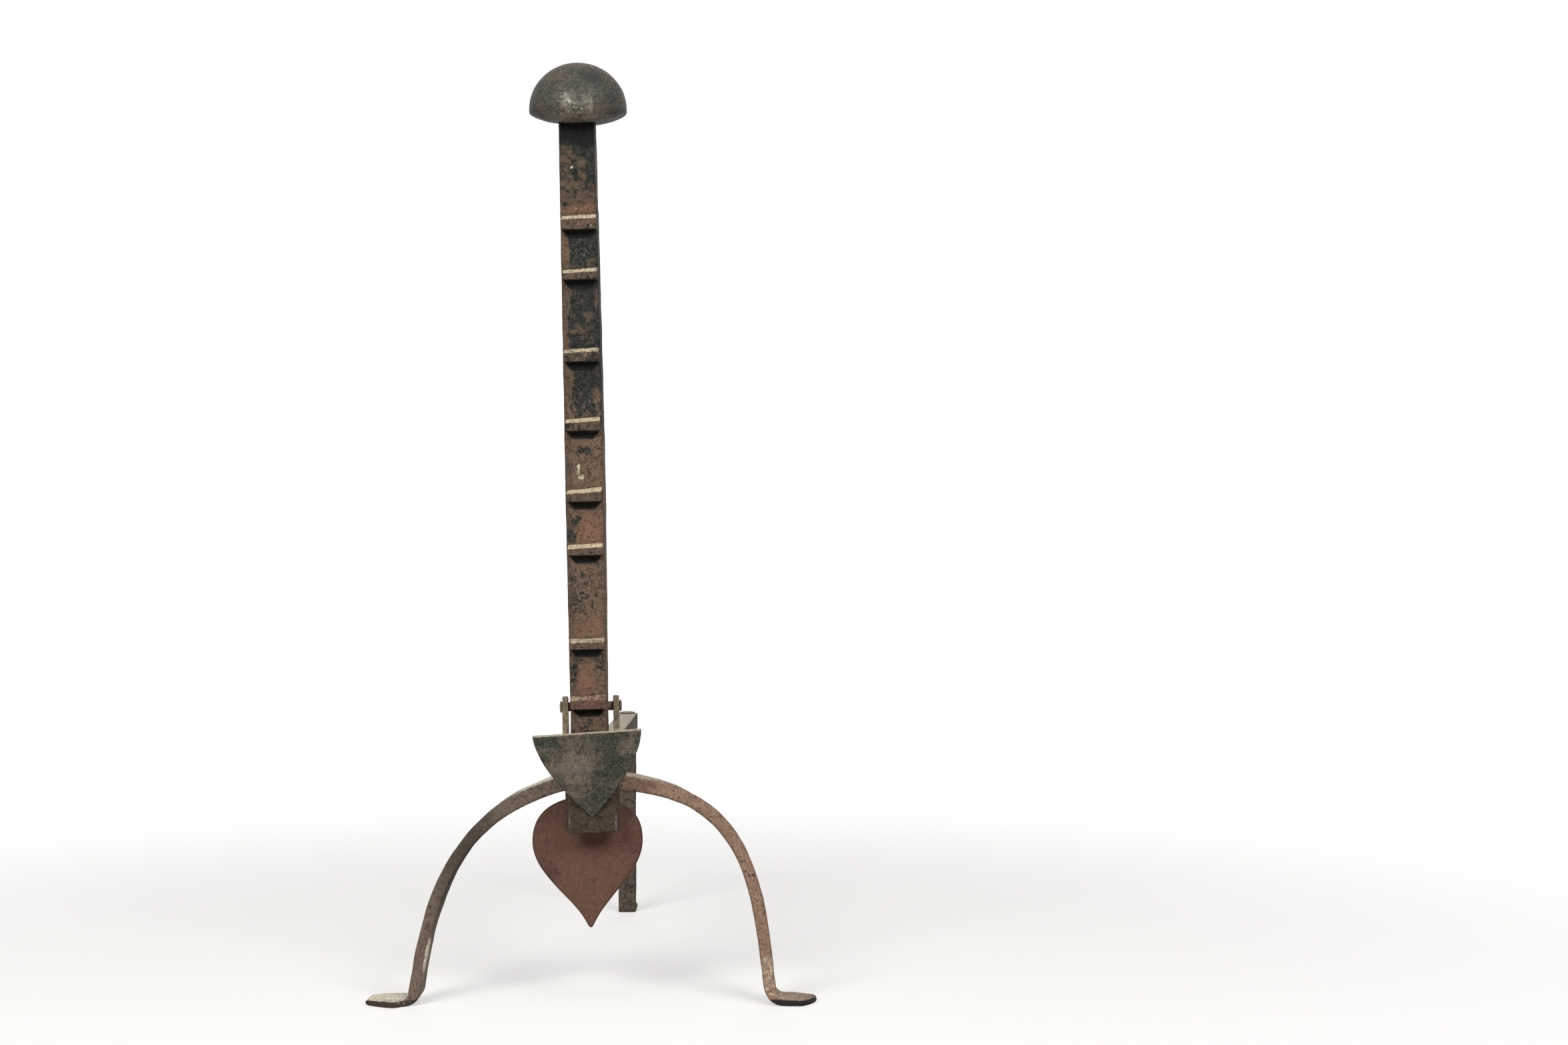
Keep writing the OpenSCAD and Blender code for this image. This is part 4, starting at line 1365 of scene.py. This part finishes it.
@dataclass(frozen=True)
class BilletBar:
    """The bar that carries the logs, tenoned through the shaft and peened over in front, and its rear leg."""

    place: Placement
    width: float = 18.0
    height: float = 15.5
    top: float = 185.0
    shaft_half: float = 12.0
    peen: Pair = (7.0, 2.2)
    rear_inset: float = 11.0
    rear_size: Pair = (16.0, 14.0)
    foot: tuple[float, float, float] = (26.0, 5.0, 4.0)
    toe: Pair = (7.0, 2.4)
    corner: float = 1.8
    leg_corner: float = 1.6
    end_round: float = 2.0
    step: float = 1.0
    fire_at: Stain = ((200,), (120,), 0.35)

    @property
    def middle(self) -> Pair:
        """The bar's middle, as x and z: it lies on the leaning shaft's axis."""
        z = self.top - self.height / 2
        return -(z - self.place.lean_height) * math.tan(math.radians(self.place.shaft_lean)), z

    def head(self) -> Array:
        """A peened tenon's low dome, on its round base at the origin and rising along +Z.

        Returns:
            The dome's rings.
        """
        radius, height = self.peen
        base = [[-0.6, radius * 0.97]]
        return turned(np.concatenate([base, peened_dome(radius, height)[::-1]]), 48)

    def bar_shells(self) -> list[Shell]:
        """The bar, from inside the shaft to its rounded rear end, and the peened head.

        Returns:
            The bar and the head in front of the shaft.
        """
        x, z = self.middle
        start, end = self.shaft_half - 1, self.place.billet_end
        way = end_spacing(end - start, 1.2, self.end_round)
        inset = end_inset(way, self.end_round) * (way > (end - start) / 2)
        line = np.stack([0 * way + x, way + start, 0 * way + z], axis=1)
        size = np.stack([self.width - 2 * inset, self.height - 2 * inset], axis=1)
        head = self.head()
        head = np.stack([head[..., 0] + x, -head[..., 2] - self.shaft_half, head[..., 1] + z], axis=-1)
        return [bar(line, ALONG_X, ALONG_Z, size, self.corner, steps=(14, 4)), Shell(head)]

    def leg_shells(self) -> list[Shell]:
        """The rear leg: a bar between an outer and an inner line, each a straight, an arc and the foot; and
        its tenon's head on the billet bar.

        Returns:
            The leg and the head.
        """
        x, _ = self.middle
        rear = self.place.billet_end - self.rear_inset
        long, thick, tip = self.foot
        half = self.rear_size[1] / 2
        turn = np.radians(np.linspace(0, 90, 16))
        start = self.top - self.height + 1
        end = rear + half + long
        outer, inner = (
            np.concatenate([[[rear + side, start]],
                            np.stack([rear + side + thick * (1 - np.cos(turn)),
                                      low + thick * (1 - np.sin(turn))], axis=1), [[end, last]]])
            for side, low, last in ((-half, 0, 0), (half, thick, tip)))
        steps = round(run_of((outer + inner) / 2)[-1] / self.step)
        line = spaced(np.concatenate([outer, inner], axis=1), steps)
        outer, inner = line[:, :2], line[:, 2:]
        left = np.linspace(start + long, 0, steps)
        toe_length, power = self.toe
        toe = np.clip(1 - left / toe_length, 0, 1)
        width = self.rear_size[0] * np.maximum((1 - toe**power) ** (1 / power), 0.35)
        gap = np.linalg.norm(outer - inner, axis=1)
        size = np.stack([gap * blunt_end(left, 2, 0.25), width], axis=1)
        centres = np.stack([0 * gap + x, *((outer + inner) / 2).T], axis=1)
        across = np.stack([0 * gap, *((outer - inner) / gap[:, None]).T], axis=1)
        leg = bar(centres, across, ALONG_X, size, self.leg_corner, steps=(14, 4))
        leg.rings[..., 2] = np.maximum(leg.rings[..., 2], 0)
        return [leg, Shell(self.head() + [x, rear, self.top])]

    def paint(self, points: Array, normals: Array) -> Marks:
        """Burnt dark in the middle of the bar, where the fire lies, with ash on its top.

        Args:
            points: Points of the bar or of its leg.
            normals: Their directions out of the surface.

        Returns:
            The marks patina and crust.
        """
        fire = stained(points[:, 1:2], (self.fire_at,))
        return {"patina": 0.25 + fire, "crust": 0.7 * fade(normals[:, 2], 0.4, 0.9)}

    def make(self) -> None:
        """Forges the billet bar and its rear leg."""
        for node, shells, seed in (("billet_bar", self.bar_shells(), 90),
                                   ("rear_leg", self.leg_shells(), 95)):
            relief = Relief(seed, raised=0.2, hammer=0.5, hammer_cell=14, scale=0.16, pit=0.45)
            forging = Forging(node, "frame", BILLET_IRON, relief, self.place.on_hearth, self.paint, wear=0.3)
            forging.make(shells)


# ---- stirrup -------------------------------------------------------------------------------------


@dataclass(frozen=True)
class Stirrup:
    """The cross pin behind the shaft and the two flat links that hang the hook on it."""

    place: Placement
    pin: Pair = (19.2355, 222.8)
    pin_radius: float = 3.5
    pin_head: Pair = (4.6, 1.6)
    pin_head_gap: float = 0.3
    eye: float = 3.56
    eye_outer: float = 8.2
    lap: Pair = (-7.609, 184.348)
    lap_radius: float = 6.5
    inside: float = 16.8
    thickness: float = 5.0
    round_edge: float = 1.2
    flange: float = 20.4
    joggle: Pair = (198.0, 203.0)
    tip: Pair = (176.848, 2.0)
    behind: Pair = (5.0, 25.0)

    def pin_shells(self) -> list[Shell]:
        """A turned pin with a low dome at both ends.

        Returns:
            The pin.
        """
        end = self.inside + self.thickness + self.pin_head_gap
        radius, height = self.pin_head
        shank = np.stack([np.linspace(end, 0, 28), np.full(28, self.pin_radius)], axis=1)
        under_head = [[end, radius], [end, self.pin_radius + 0.3]]
        half = np.concatenate([peened_dome(radius, height) + [end, 0], under_head, shank[1:]])
        rings = turned(np.concatenate([half, half[-2::-1] * [-1, 1]]), 48)
        y, z = (rings[..., i] + self.pin[i] for i in (0, 1))
        return [Shell(np.stack([rings[..., 2], y, z], axis=-1))]

    def link_shells(self, side: int) -> list[Shell]:
        """A flat link: at each station round its eye, a round-cornered section from the eye out to the
        strap's edge. Its two faces step outwards below the joggle and close in to the scarfed tip.

        Args:
            side: -1 for the left link.

        Returns:
            The link.
        """
        eye, lap = np.array(self.pin), np.array(self.lap)
        apart = lap - eye
        heading = math.atan2(apart[1], apart[0])
        side_turn = math.acos((self.eye_outer - self.lap_radius) / np.linalg.norm(apart))
        round_eye = np.linspace(heading + side_turn, heading + 2 * math.pi - side_turn, 60)
        round_lap = np.linspace(heading - side_turn, heading + side_turn, 40)
        edge = np.concatenate([spot + radius * np.stack([np.cos(turn), np.sin(turn)], axis=1)
                               for spot, radius, turn in ((eye, self.eye_outer, round_eye),
                                                          (lap, self.lap_radius, round_lap))])
        edge = spaced(edge, 170, closed=True)
        ray = edge - eye
        reach = np.linalg.norm(ray, axis=1, keepdims=True)
        ray = ray / reach
        signs, turns = corner_ring(26, 4)
        span = (reach - self.eye) / 2
        along = self.eye + span + signs[:, 0] * (span - self.round_edge) + turns[:, 0] * self.round_edge
        thick = signs[:, 1] * (self.thickness / 2 - self.round_edge) + turns[:, 1] * self.round_edge
        y, z = (eye[i] + ray[:, i : i + 1] * along for i in (0, 1))
        low, high = self.joggle
        tip_z, tip_t = self.tip
        inner = np.interp(z, [low, high], [self.flange, self.inside])
        strap = self.flange + self.thickness
        outer = np.interp(z, [tip_z, self.lap[1], low, high],
                          [self.flange + tip_t, strap, strap, self.inside + self.thickness])
        x = (inner + outer) / 2 + (outer - inner) * (thick / self.thickness)
        return [Shell(np.stack([side * x, y, z], axis=-1), Cap.JOINED)]

    def paint(self, points: Array, normals: Array) -> Marks:
        """Pale crust on the rounded tops, patina behind.

        Args:
            points: Points of the pin or of a link.
            normals: Their directions out of the surface.

        Returns:
            The marks patina and crust.
        """
        return {"patina": 0.15 + 0.3 * fade(points[:, 1], *self.behind),
                "crust": 0.45 * fade(normals[:, 2], 0.2, 0.8)}

    def make(self) -> None:
        """Forges the pin and its two links."""
        relief = Relief(100, hammer=0.02, scale=0.02, pit=0.0)
        pin = Forging("cross_pin", "stirrup_pin", LINK_IRON, relief, self.place.on_hook, self.paint, wear=0.5)
        pin.make(self.pin_shells())
        for node, side in (("left_link", -1), ("right_link", 1)):
            relief = Relief(105 + side, hammer=0.3, hammer_cell=8, scale=0.15, scale_cell=2.5, pit=0.6,
                            pit_cell=3.2, pit_share=0.6)
            link = Forging(node, "spit_hook", LINK_IRON, relief, self.place.on_hook, self.paint, wear=0.5)
            link.make(self.link_shells(side))


# ---- spit hook -----------------------------------------------------------------------------------


@dataclass(frozen=True)
class HookChannel:
    """The bent plate that straddles the shaft, with its catch lip."""

    place: Placement
    inside: float = 16.4
    plate: float = 4.0
    front: float = -27.4112
    lip: float = -20.4112
    heel: float = -14.1091
    wing: float = -1.1091
    bottom: float = 131.6
    heel_top: float = 153.6
    step: float = 175.848
    step_height: float = 0.9
    top: float = 197.0
    toe: float = 10.0
    lip_height: float = 4.0
    low_corner: float = 3.0
    bend: float = 3.2
    # Where the bands on the front's rounded corners and the lower side corners fade: partly rubbed, partly
    # painted highlight
    right_rub_and_highlight: tuple[Pair, Pair] = ((11.0, 14.0), (19.0, 17.0))
    left_rub_and_highlight: tuple[Pair, Pair] = ((-19.0, -18.0), (-15.0, -17.0))
    corner_rub_and_highlight: tuple[Pair, Pair] = ((16.4, 17.0), (18.3, 17.7))
    rub_and_highlight_below: Pair = (150.0, 146.0)

    def middle_line(self, z: Array) -> Array:
        """The bent sheet's middle line in plan at each height: two flanges, two arcs and the front. The
        flanges reach back to the heel, and to the wings above the step; the lower corners are rounded.

        Args:
            z: The heights.

        Returns:
            A line of points for each height, as x and y.
        """
        back = np.interp(z, [self.bottom, self.heel_top, self.step, self.step + self.step_height,
                             self.top - self.lip_height, self.top],
                         [self.front + self.toe, self.heel, self.heel, self.wing, self.wing,
                          self.wing - self.lip_height])[:, None]
        low = np.clip(self.low_corner - (z - self.bottom), 0, self.low_corner)
        drawn_in = (self.low_corner - np.sqrt(self.low_corner**2 - low**2))[:, None]
        side = self.inside + self.plate / 2 - drawn_in
        web = self.front + self.plate / 2
        turn = np.radians(np.linspace(0, 90, 10))[1:-1]
        flange_y = back + (web + self.bend - back) * np.linspace(0, 1, 34)
        arc_x = side - self.bend * (1 - np.cos(turn))
        arc_y = web + self.bend * (1 - np.sin(turn)) + 0 * side
        web_x = (side - self.bend) * np.linspace(1, -1, 60)
        right_x = np.concatenate([side + 0 * flange_y, arc_x], axis=1)
        right_y = np.concatenate([flange_y, arc_y], axis=1)
        x = np.concatenate([right_x, web_x, -right_x[:, ::-1]], axis=1)
        y = np.concatenate([right_y, web + 0 * web_x, right_y[:, ::-1]], axis=1)
        return np.stack([x, y], axis=-1)

    def shells(self) -> list[Shell]:
        """A sheet bent to a U: its middle line at each height, with half the plate's thickness to both
        sides, less towards every free edge; and the lip, a small bar across the top of its inside.

        Returns:
            The channel and its lip.
        """
        z = self.bottom + end_spacing(self.top - self.bottom, 0.8, 1.5)
        middle = self.middle_line(z)
        way = np.gradient(middle, axis=1)
        way /= np.linalg.norm(way, axis=-1, keepdims=True)
        normal = np.stack([-way[..., 1], way[..., 0]], axis=-1)
        run = run_of(middle)
        near = np.minimum(run, run[:, -1:] - run)
        near = np.minimum(near, np.minimum(z - self.bottom, self.top - z)[:, None])
        half = self.plate / 2 * blunt_end(near + 0.1, self.plate / 2)[..., None]
        outer, inner = middle - normal * half, middle + normal * half
        rings = np.concatenate([outer, inner[:, ::-1]], axis=1)
        heights = np.broadcast_to(z[:, None, None], (*rings.shape[:2], 1))
        ends = end_spacing(2 * self.inside, 1, 1) - self.inside
        lip_y = (self.lip + self.front + self.plate - 1) / 2
        line = np.stack([ends, 0 * ends + lip_y, 0 * ends + self.top - self.lip_height / 2], axis=1)
        size = np.broadcast_to([self.lip - self.front - self.plate + 1, self.lip_height], (len(ends), 2))
        return [Shell(np.concatenate([rings, heights], axis=-1), Cap.LADDER),
                bar(line, ALONG_Y, ALONG_Z, size, corner=1, steps=(6, 4))]

    def paint(self, points: Array, normals: Array) -> Marks:
        """Dark rust with a lighter band at both sides of the front and on the lower corners: partly rubbed,
        partly painted highlight on the rounded corners.

        Args:
            points: Points of the upright channel.
            normals: Their directions out of the surface; not used.

        Returns:
            The marks patina and crust.
        """
        x, _, z = points.T
        right, left, corner = (fade(place, *start) * fade(place, *end)
                               for place, (start, end) in ((x, self.right_rub_and_highlight), (x, self.left_rub_and_highlight),
                                                           (np.abs(x), self.corner_rub_and_highlight)))
        # Lighter bands on the corners: partly rubbed, partly painted highlight
        return {"patina": 0.3 - 0.2 * (right + left),
                "crust": 0.2 * (right + left) + 0.3 * corner * fade(z, *self.rub_and_highlight_below)}

    def make(self) -> None:
        """Forges the channel."""
        relief = Relief(120, hammer=0.3, hammer_cell=14, scale=0.14, pit=0.35)
        forging = Forging("hook_channel", "spit_hook", CHANNEL_IRON, relief, self.place.on_hook,
                          self.paint, wear=0.4)
        forging.make(self.shells())


@dataclass(frozen=True)
class Shield:
    """The pointed plate that leans forward over the channel, with bowed sides and a rubbed top edge."""

    place: Placement
    width: float = 79.4
    length: float = 70.0
    thickness: float = 4.0
    lean: float = 22.0
    roll: float = 2.6
    point: float = 144.0
    weld: float = 9.0
    belly: float = 1.65
    middle: Pair = (0.0, 48.0)
    crown: float = 0.35
    edge: float = 1.1
    channel_front: float = -27.4112
    seat: float = 0.3
    green: float = 0.68
    stains: tuple[Stain, ...] = (
        ((-12, 184), (15, 10), -0.5), ((-8, 170), (10, 7), -0.25), ((27, 199), (9, 5), -0.4),
        ((-31, 203), (9, 7), 0.45), ((14, 199), (9, 9), 0.4), ((16, 180), (10, 8), 0.35),
        ((4, 160), (8, 8), 0.35))

    def outline(self) -> Array:
        """The front view: half the width is 1 - (1 - height / length)^belly of it, up to a straight top.

        Returns:
            Points of the closed outline, as x and z from the shield's point.
        """
        height = self.length * np.linspace(0, 1, 90) ** 1.3
        half = self.width / 2 * (1 - (1 - height / self.length) ** self.belly)
        right = np.stack([half, height], axis=1)
        return spaced(np.concatenate([right, right[:0:-1] * [-1, 1]]), 380, closed=True)

    def shells(self) -> list[Shell]:
        """The plate, rolled sideways about its point, leaned forward from the weld, and cut flat on the
        channel.

        Returns:
            The shield.
        """
        flat = plate(self.outline(), self.middle, self.thickness / 2, self.crown, self.edge, steps=(60, 5))
        x, y, z = np.moveaxis(flat.rings, -1, 0)
        x, z = swung(x, z, self.roll)
        y, z = swung(y - self.thickness / 2, z - self.weld, self.lean)
        y = np.minimum(y + self.channel_front, self.channel_front + self.seat)
        return [Shell(np.stack([x, y, z + self.point + self.weld], axis=-1))]

    def paint(self, points: Array, normals: Array) -> Marks:
        """Green-black stains with taupe between them, and a pale top edge.

        Args:
            points: Points of the upright shield.
            normals: Their directions out of the surface.

        Returns:
            The marks patina and crust.
        """
        return {"patina": self.green + stained(points[:, [0, 2]], self.stains),
                "crust": 0.8 * fade(normals[:, 2], 0.3, 0.7)}

    def make(self) -> None:
        """Forges the shield."""
        relief = Relief(140, raised=0.3, hammer=0.5, hammer_cell=16, scale=0.06, pit=0.2, pit_cell=4,
                        pit_share=0.25)
        forging = Forging("shield", "spit_hook", SHIELD_IRON, relief, self.place.on_hook, self.paint,
                          wear=0.2)
        forging.make(self.shells())


# ---- hearth, lamps and camera --------------------------------------------------------------------


@dataclass(frozen=True)
class Softbox:
    """A large lamp turned to the andiron; its light is what a plain surface facing it would send back."""

    name: str
    azimuth: float
    elevation: float
    size: Pair
    light: float
    distance: float = 2.6
    aim: float = 0.36

    def hang(self) -> None:
        """Hangs the lamp: azimuth 0 is in front, and 90 is on the right."""
        turn, rise = math.radians(self.azimuth), math.radians(self.elevation)
        lamp = bpy.data.lights.new(self.name, "AREA")
        lamp.shape = "RECTANGLE"
        lamp.size, lamp.size_y = self.size
        lamp.energy = self.light * math.pi**2 * self.distance**2
        box = bpy.data.objects.new(self.name, lamp)
        way = np.array([math.sin(turn) * math.cos(rise), -math.cos(turn) * math.cos(rise), math.sin(rise)])
        box.location = way * self.distance + [0, 0, self.aim]
        box.rotation_euler = (math.pi / 2 - rise, 0, turn)
        bpy.context.scene.collection.objects.link(box)


@dataclass(frozen=True)
class Studio:
    """The pale floor, the soft lamps, the white surroundings and the camera, at the photograph's viewing
    angle. Its places and distances are in metres.
    """

    boxes: tuple[Softbox, ...] = (
        Softbox("softbox_above", 0, 68, (2.4, 1.2), 0.13),
        Softbox("softbox_left", -25, 28, (1.1, 0.8), 0.59),
        Softbox("softbox_right", 31, 30, (1.1, 0.8), 0.49),
        Softbox("softbox_behind", 180, 25, (1.4, 0.8), 0.25))
    white: str = "#ffffff"
    ambient: float = 0.085
    floor_colour: str = "#cac8c4"
    floor_lift: float = 0.46
    floor_reach: float = 12.0
    white_from: Pair = (0.35, 1.1)
    camera_place: tuple[float, float, float] = (0.145, -1.9572, 0.363)
    camera_lens: float = 53.571
    camera_film: float = 36.0
    camera_range: Pair = (0.05, 100.0)

    def world(self) -> None:
        """Surrounds the andiron with weak even light; the camera and reflections see white instead."""
        world = bpy.data.worlds.new("surroundings")
        world.use_nodes = True
        tree = world.node_tree
        tree.nodes.clear()
        rays = add_node(tree, "ShaderNodeLightPath", {})
        seen = rays.outputs["Is Camera Ray"]
        for kind in ("Is Glossy Ray", "Is Transmission Ray"):
            either = add_node(tree, "ShaderNodeMath", {0: seen, 1: rays.outputs[kind]}, operation="MAXIMUM")
            seen = either.outputs[0]
        strength = add_node(tree, "ShaderNodeMapRange", {
            "Value": seen, "To Min": self.ambient, "To Max": 1.0}).outputs[0]
        light = add_node(tree, "ShaderNodeBackground", {"Color": linear(self.white), "Strength": strength})
        add_node(tree, "ShaderNodeOutputWorld", {"Surface": light.outputs[0]})
        bpy.context.scene.world = world

    def floor_material(self) -> bpy.types.Material:
        """A pale matt floor that the camera and reflections see lifted, and white away from the andiron.

        Returns:
            The material.
        """
        made = bpy.data.materials.new("pale_matt_floor")
        made.use_nodes = True
        tree = made.node_tree
        tree.nodes.clear()
        place = add_node(tree, "ShaderNodeTexCoord", {}).outputs["Object"]
        away = add_node(tree, "ShaderNodeVectorMath", {0: place}, operation="LENGTH").outputs["Value"]
        start, full = self.white_from
        white = add_node(tree, "ShaderNodeMapRange", {"Value": away, "From Min": start, "From Max": full},
                         interpolation_type="SMOOTHSTEP").outputs[0]
        rays = add_node(tree, "ShaderNodeLightPath", {})
        seen = add_node(tree, "ShaderNodeMath", {0: rays.outputs["Is Camera Ray"],
                                                 1: rays.outputs["Is Glossy Ray"]},
                        operation="MAXIMUM").outputs[0]
        factor, lift = (add_node(tree, "ShaderNodeMath", {0: a, 1: b}, operation="MULTIPLY").outputs[0]
                        for a, b in ((white, seen), (seen, self.floor_lift)))
        matt = add_node(tree, "ShaderNodeBsdfDiffuse", {"Color": linear(self.floor_colour)}).outputs[0]
        glow, far = (add_node(tree, "ShaderNodeEmission", {
            "Color": linear(self.white), "Strength": strength}) for strength in (lift, 1.0))
        near = add_node(tree, "ShaderNodeAddShader", {0: matt, 1: glow.outputs[0]}).outputs[0]
        both = add_node(tree, "ShaderNodeMixShader", {0: factor, 1: near, 2: far.outputs[0]}).outputs[0]
        add_node(tree, "ShaderNodeOutputMaterial", {"Surface": both})
        return made

    def floor(self) -> None:
        """Lays the floor, which fades to white for the camera and so has no far edge."""
        reach = self.floor_reach
        mesh = bpy.data.meshes.new("hearth_floor")
        corners = [(-reach, -reach, 0), (reach, -reach, 0), (reach, reach, 0), (-reach, reach, 0)]
        mesh.from_pydata(corners, [], [(0, 1, 2, 3)])
        mesh.materials.append(self.floor_material())
        floor = bpy.data.objects.new("hearth_floor", mesh)
        bpy.context.scene.collection.objects.link(floor)

    def camera(self) -> None:
        """Sets the camera level, straight along the billet bar, with the andiron left of the middle."""
        lens = bpy.data.cameras.new("view")
        lens.lens, lens.sensor_width = self.camera_lens, self.camera_film
        lens.clip_start, lens.clip_end = self.camera_range
        camera = bpy.data.objects.new("view", lens)
        camera.location = self.camera_place
        camera.rotation_euler = (math.pi / 2, 0, 0)
        bpy.context.scene.collection.objects.link(camera)
        bpy.context.scene.camera = camera

    def build(self) -> None:
        """Builds the floor, the surroundings, the lamps and the camera."""
        bpy.context.scene.view_settings.view_transform = "Standard"
        self.camera()
        self.world()
        self.floor()
        for box in self.boxes:
            box.hang()


def main() -> None:
    """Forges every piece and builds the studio."""
    logging.basicConfig(level=logging.INFO, format="%(message)s")
    place = Placement()
    Studio().build()
    left_leg = Leg(place, "left_leg", -1, LEFT_LEG_IRON, root=(12, 169.5),
                   handles=((34.6, 149), (11.6, 90)), ankle=132.6, spread=(8, -2), burnt_and_shade=0.6,
                   brown_front=0.45, side_soot_and_shade=0.6, reddened=0.45)
    right_leg = Leg(place, "right_leg", 1, RIGHT_LEG_IRON, root=(12, 168.5), handles=((17, 162), (9, 96)),
                    ankle=134.0, bend=12, twist=7, spread=(1, 2), toe=((12, 17), (24, 5)), burnt_and_shade=0.2,
                    ash=(0.4, 0.9, 0, 0.5), side_soot_and_shade=1.2)
    for maker in (Shaft(place), Knob(place), Ledges(place), left_leg, right_leg, HeartDrop(place),
                  BilletBar(place), Stirrup(place), HookChannel(place), Shield(place)):
        maker.make()


if __name__ == "__main__":
    main()
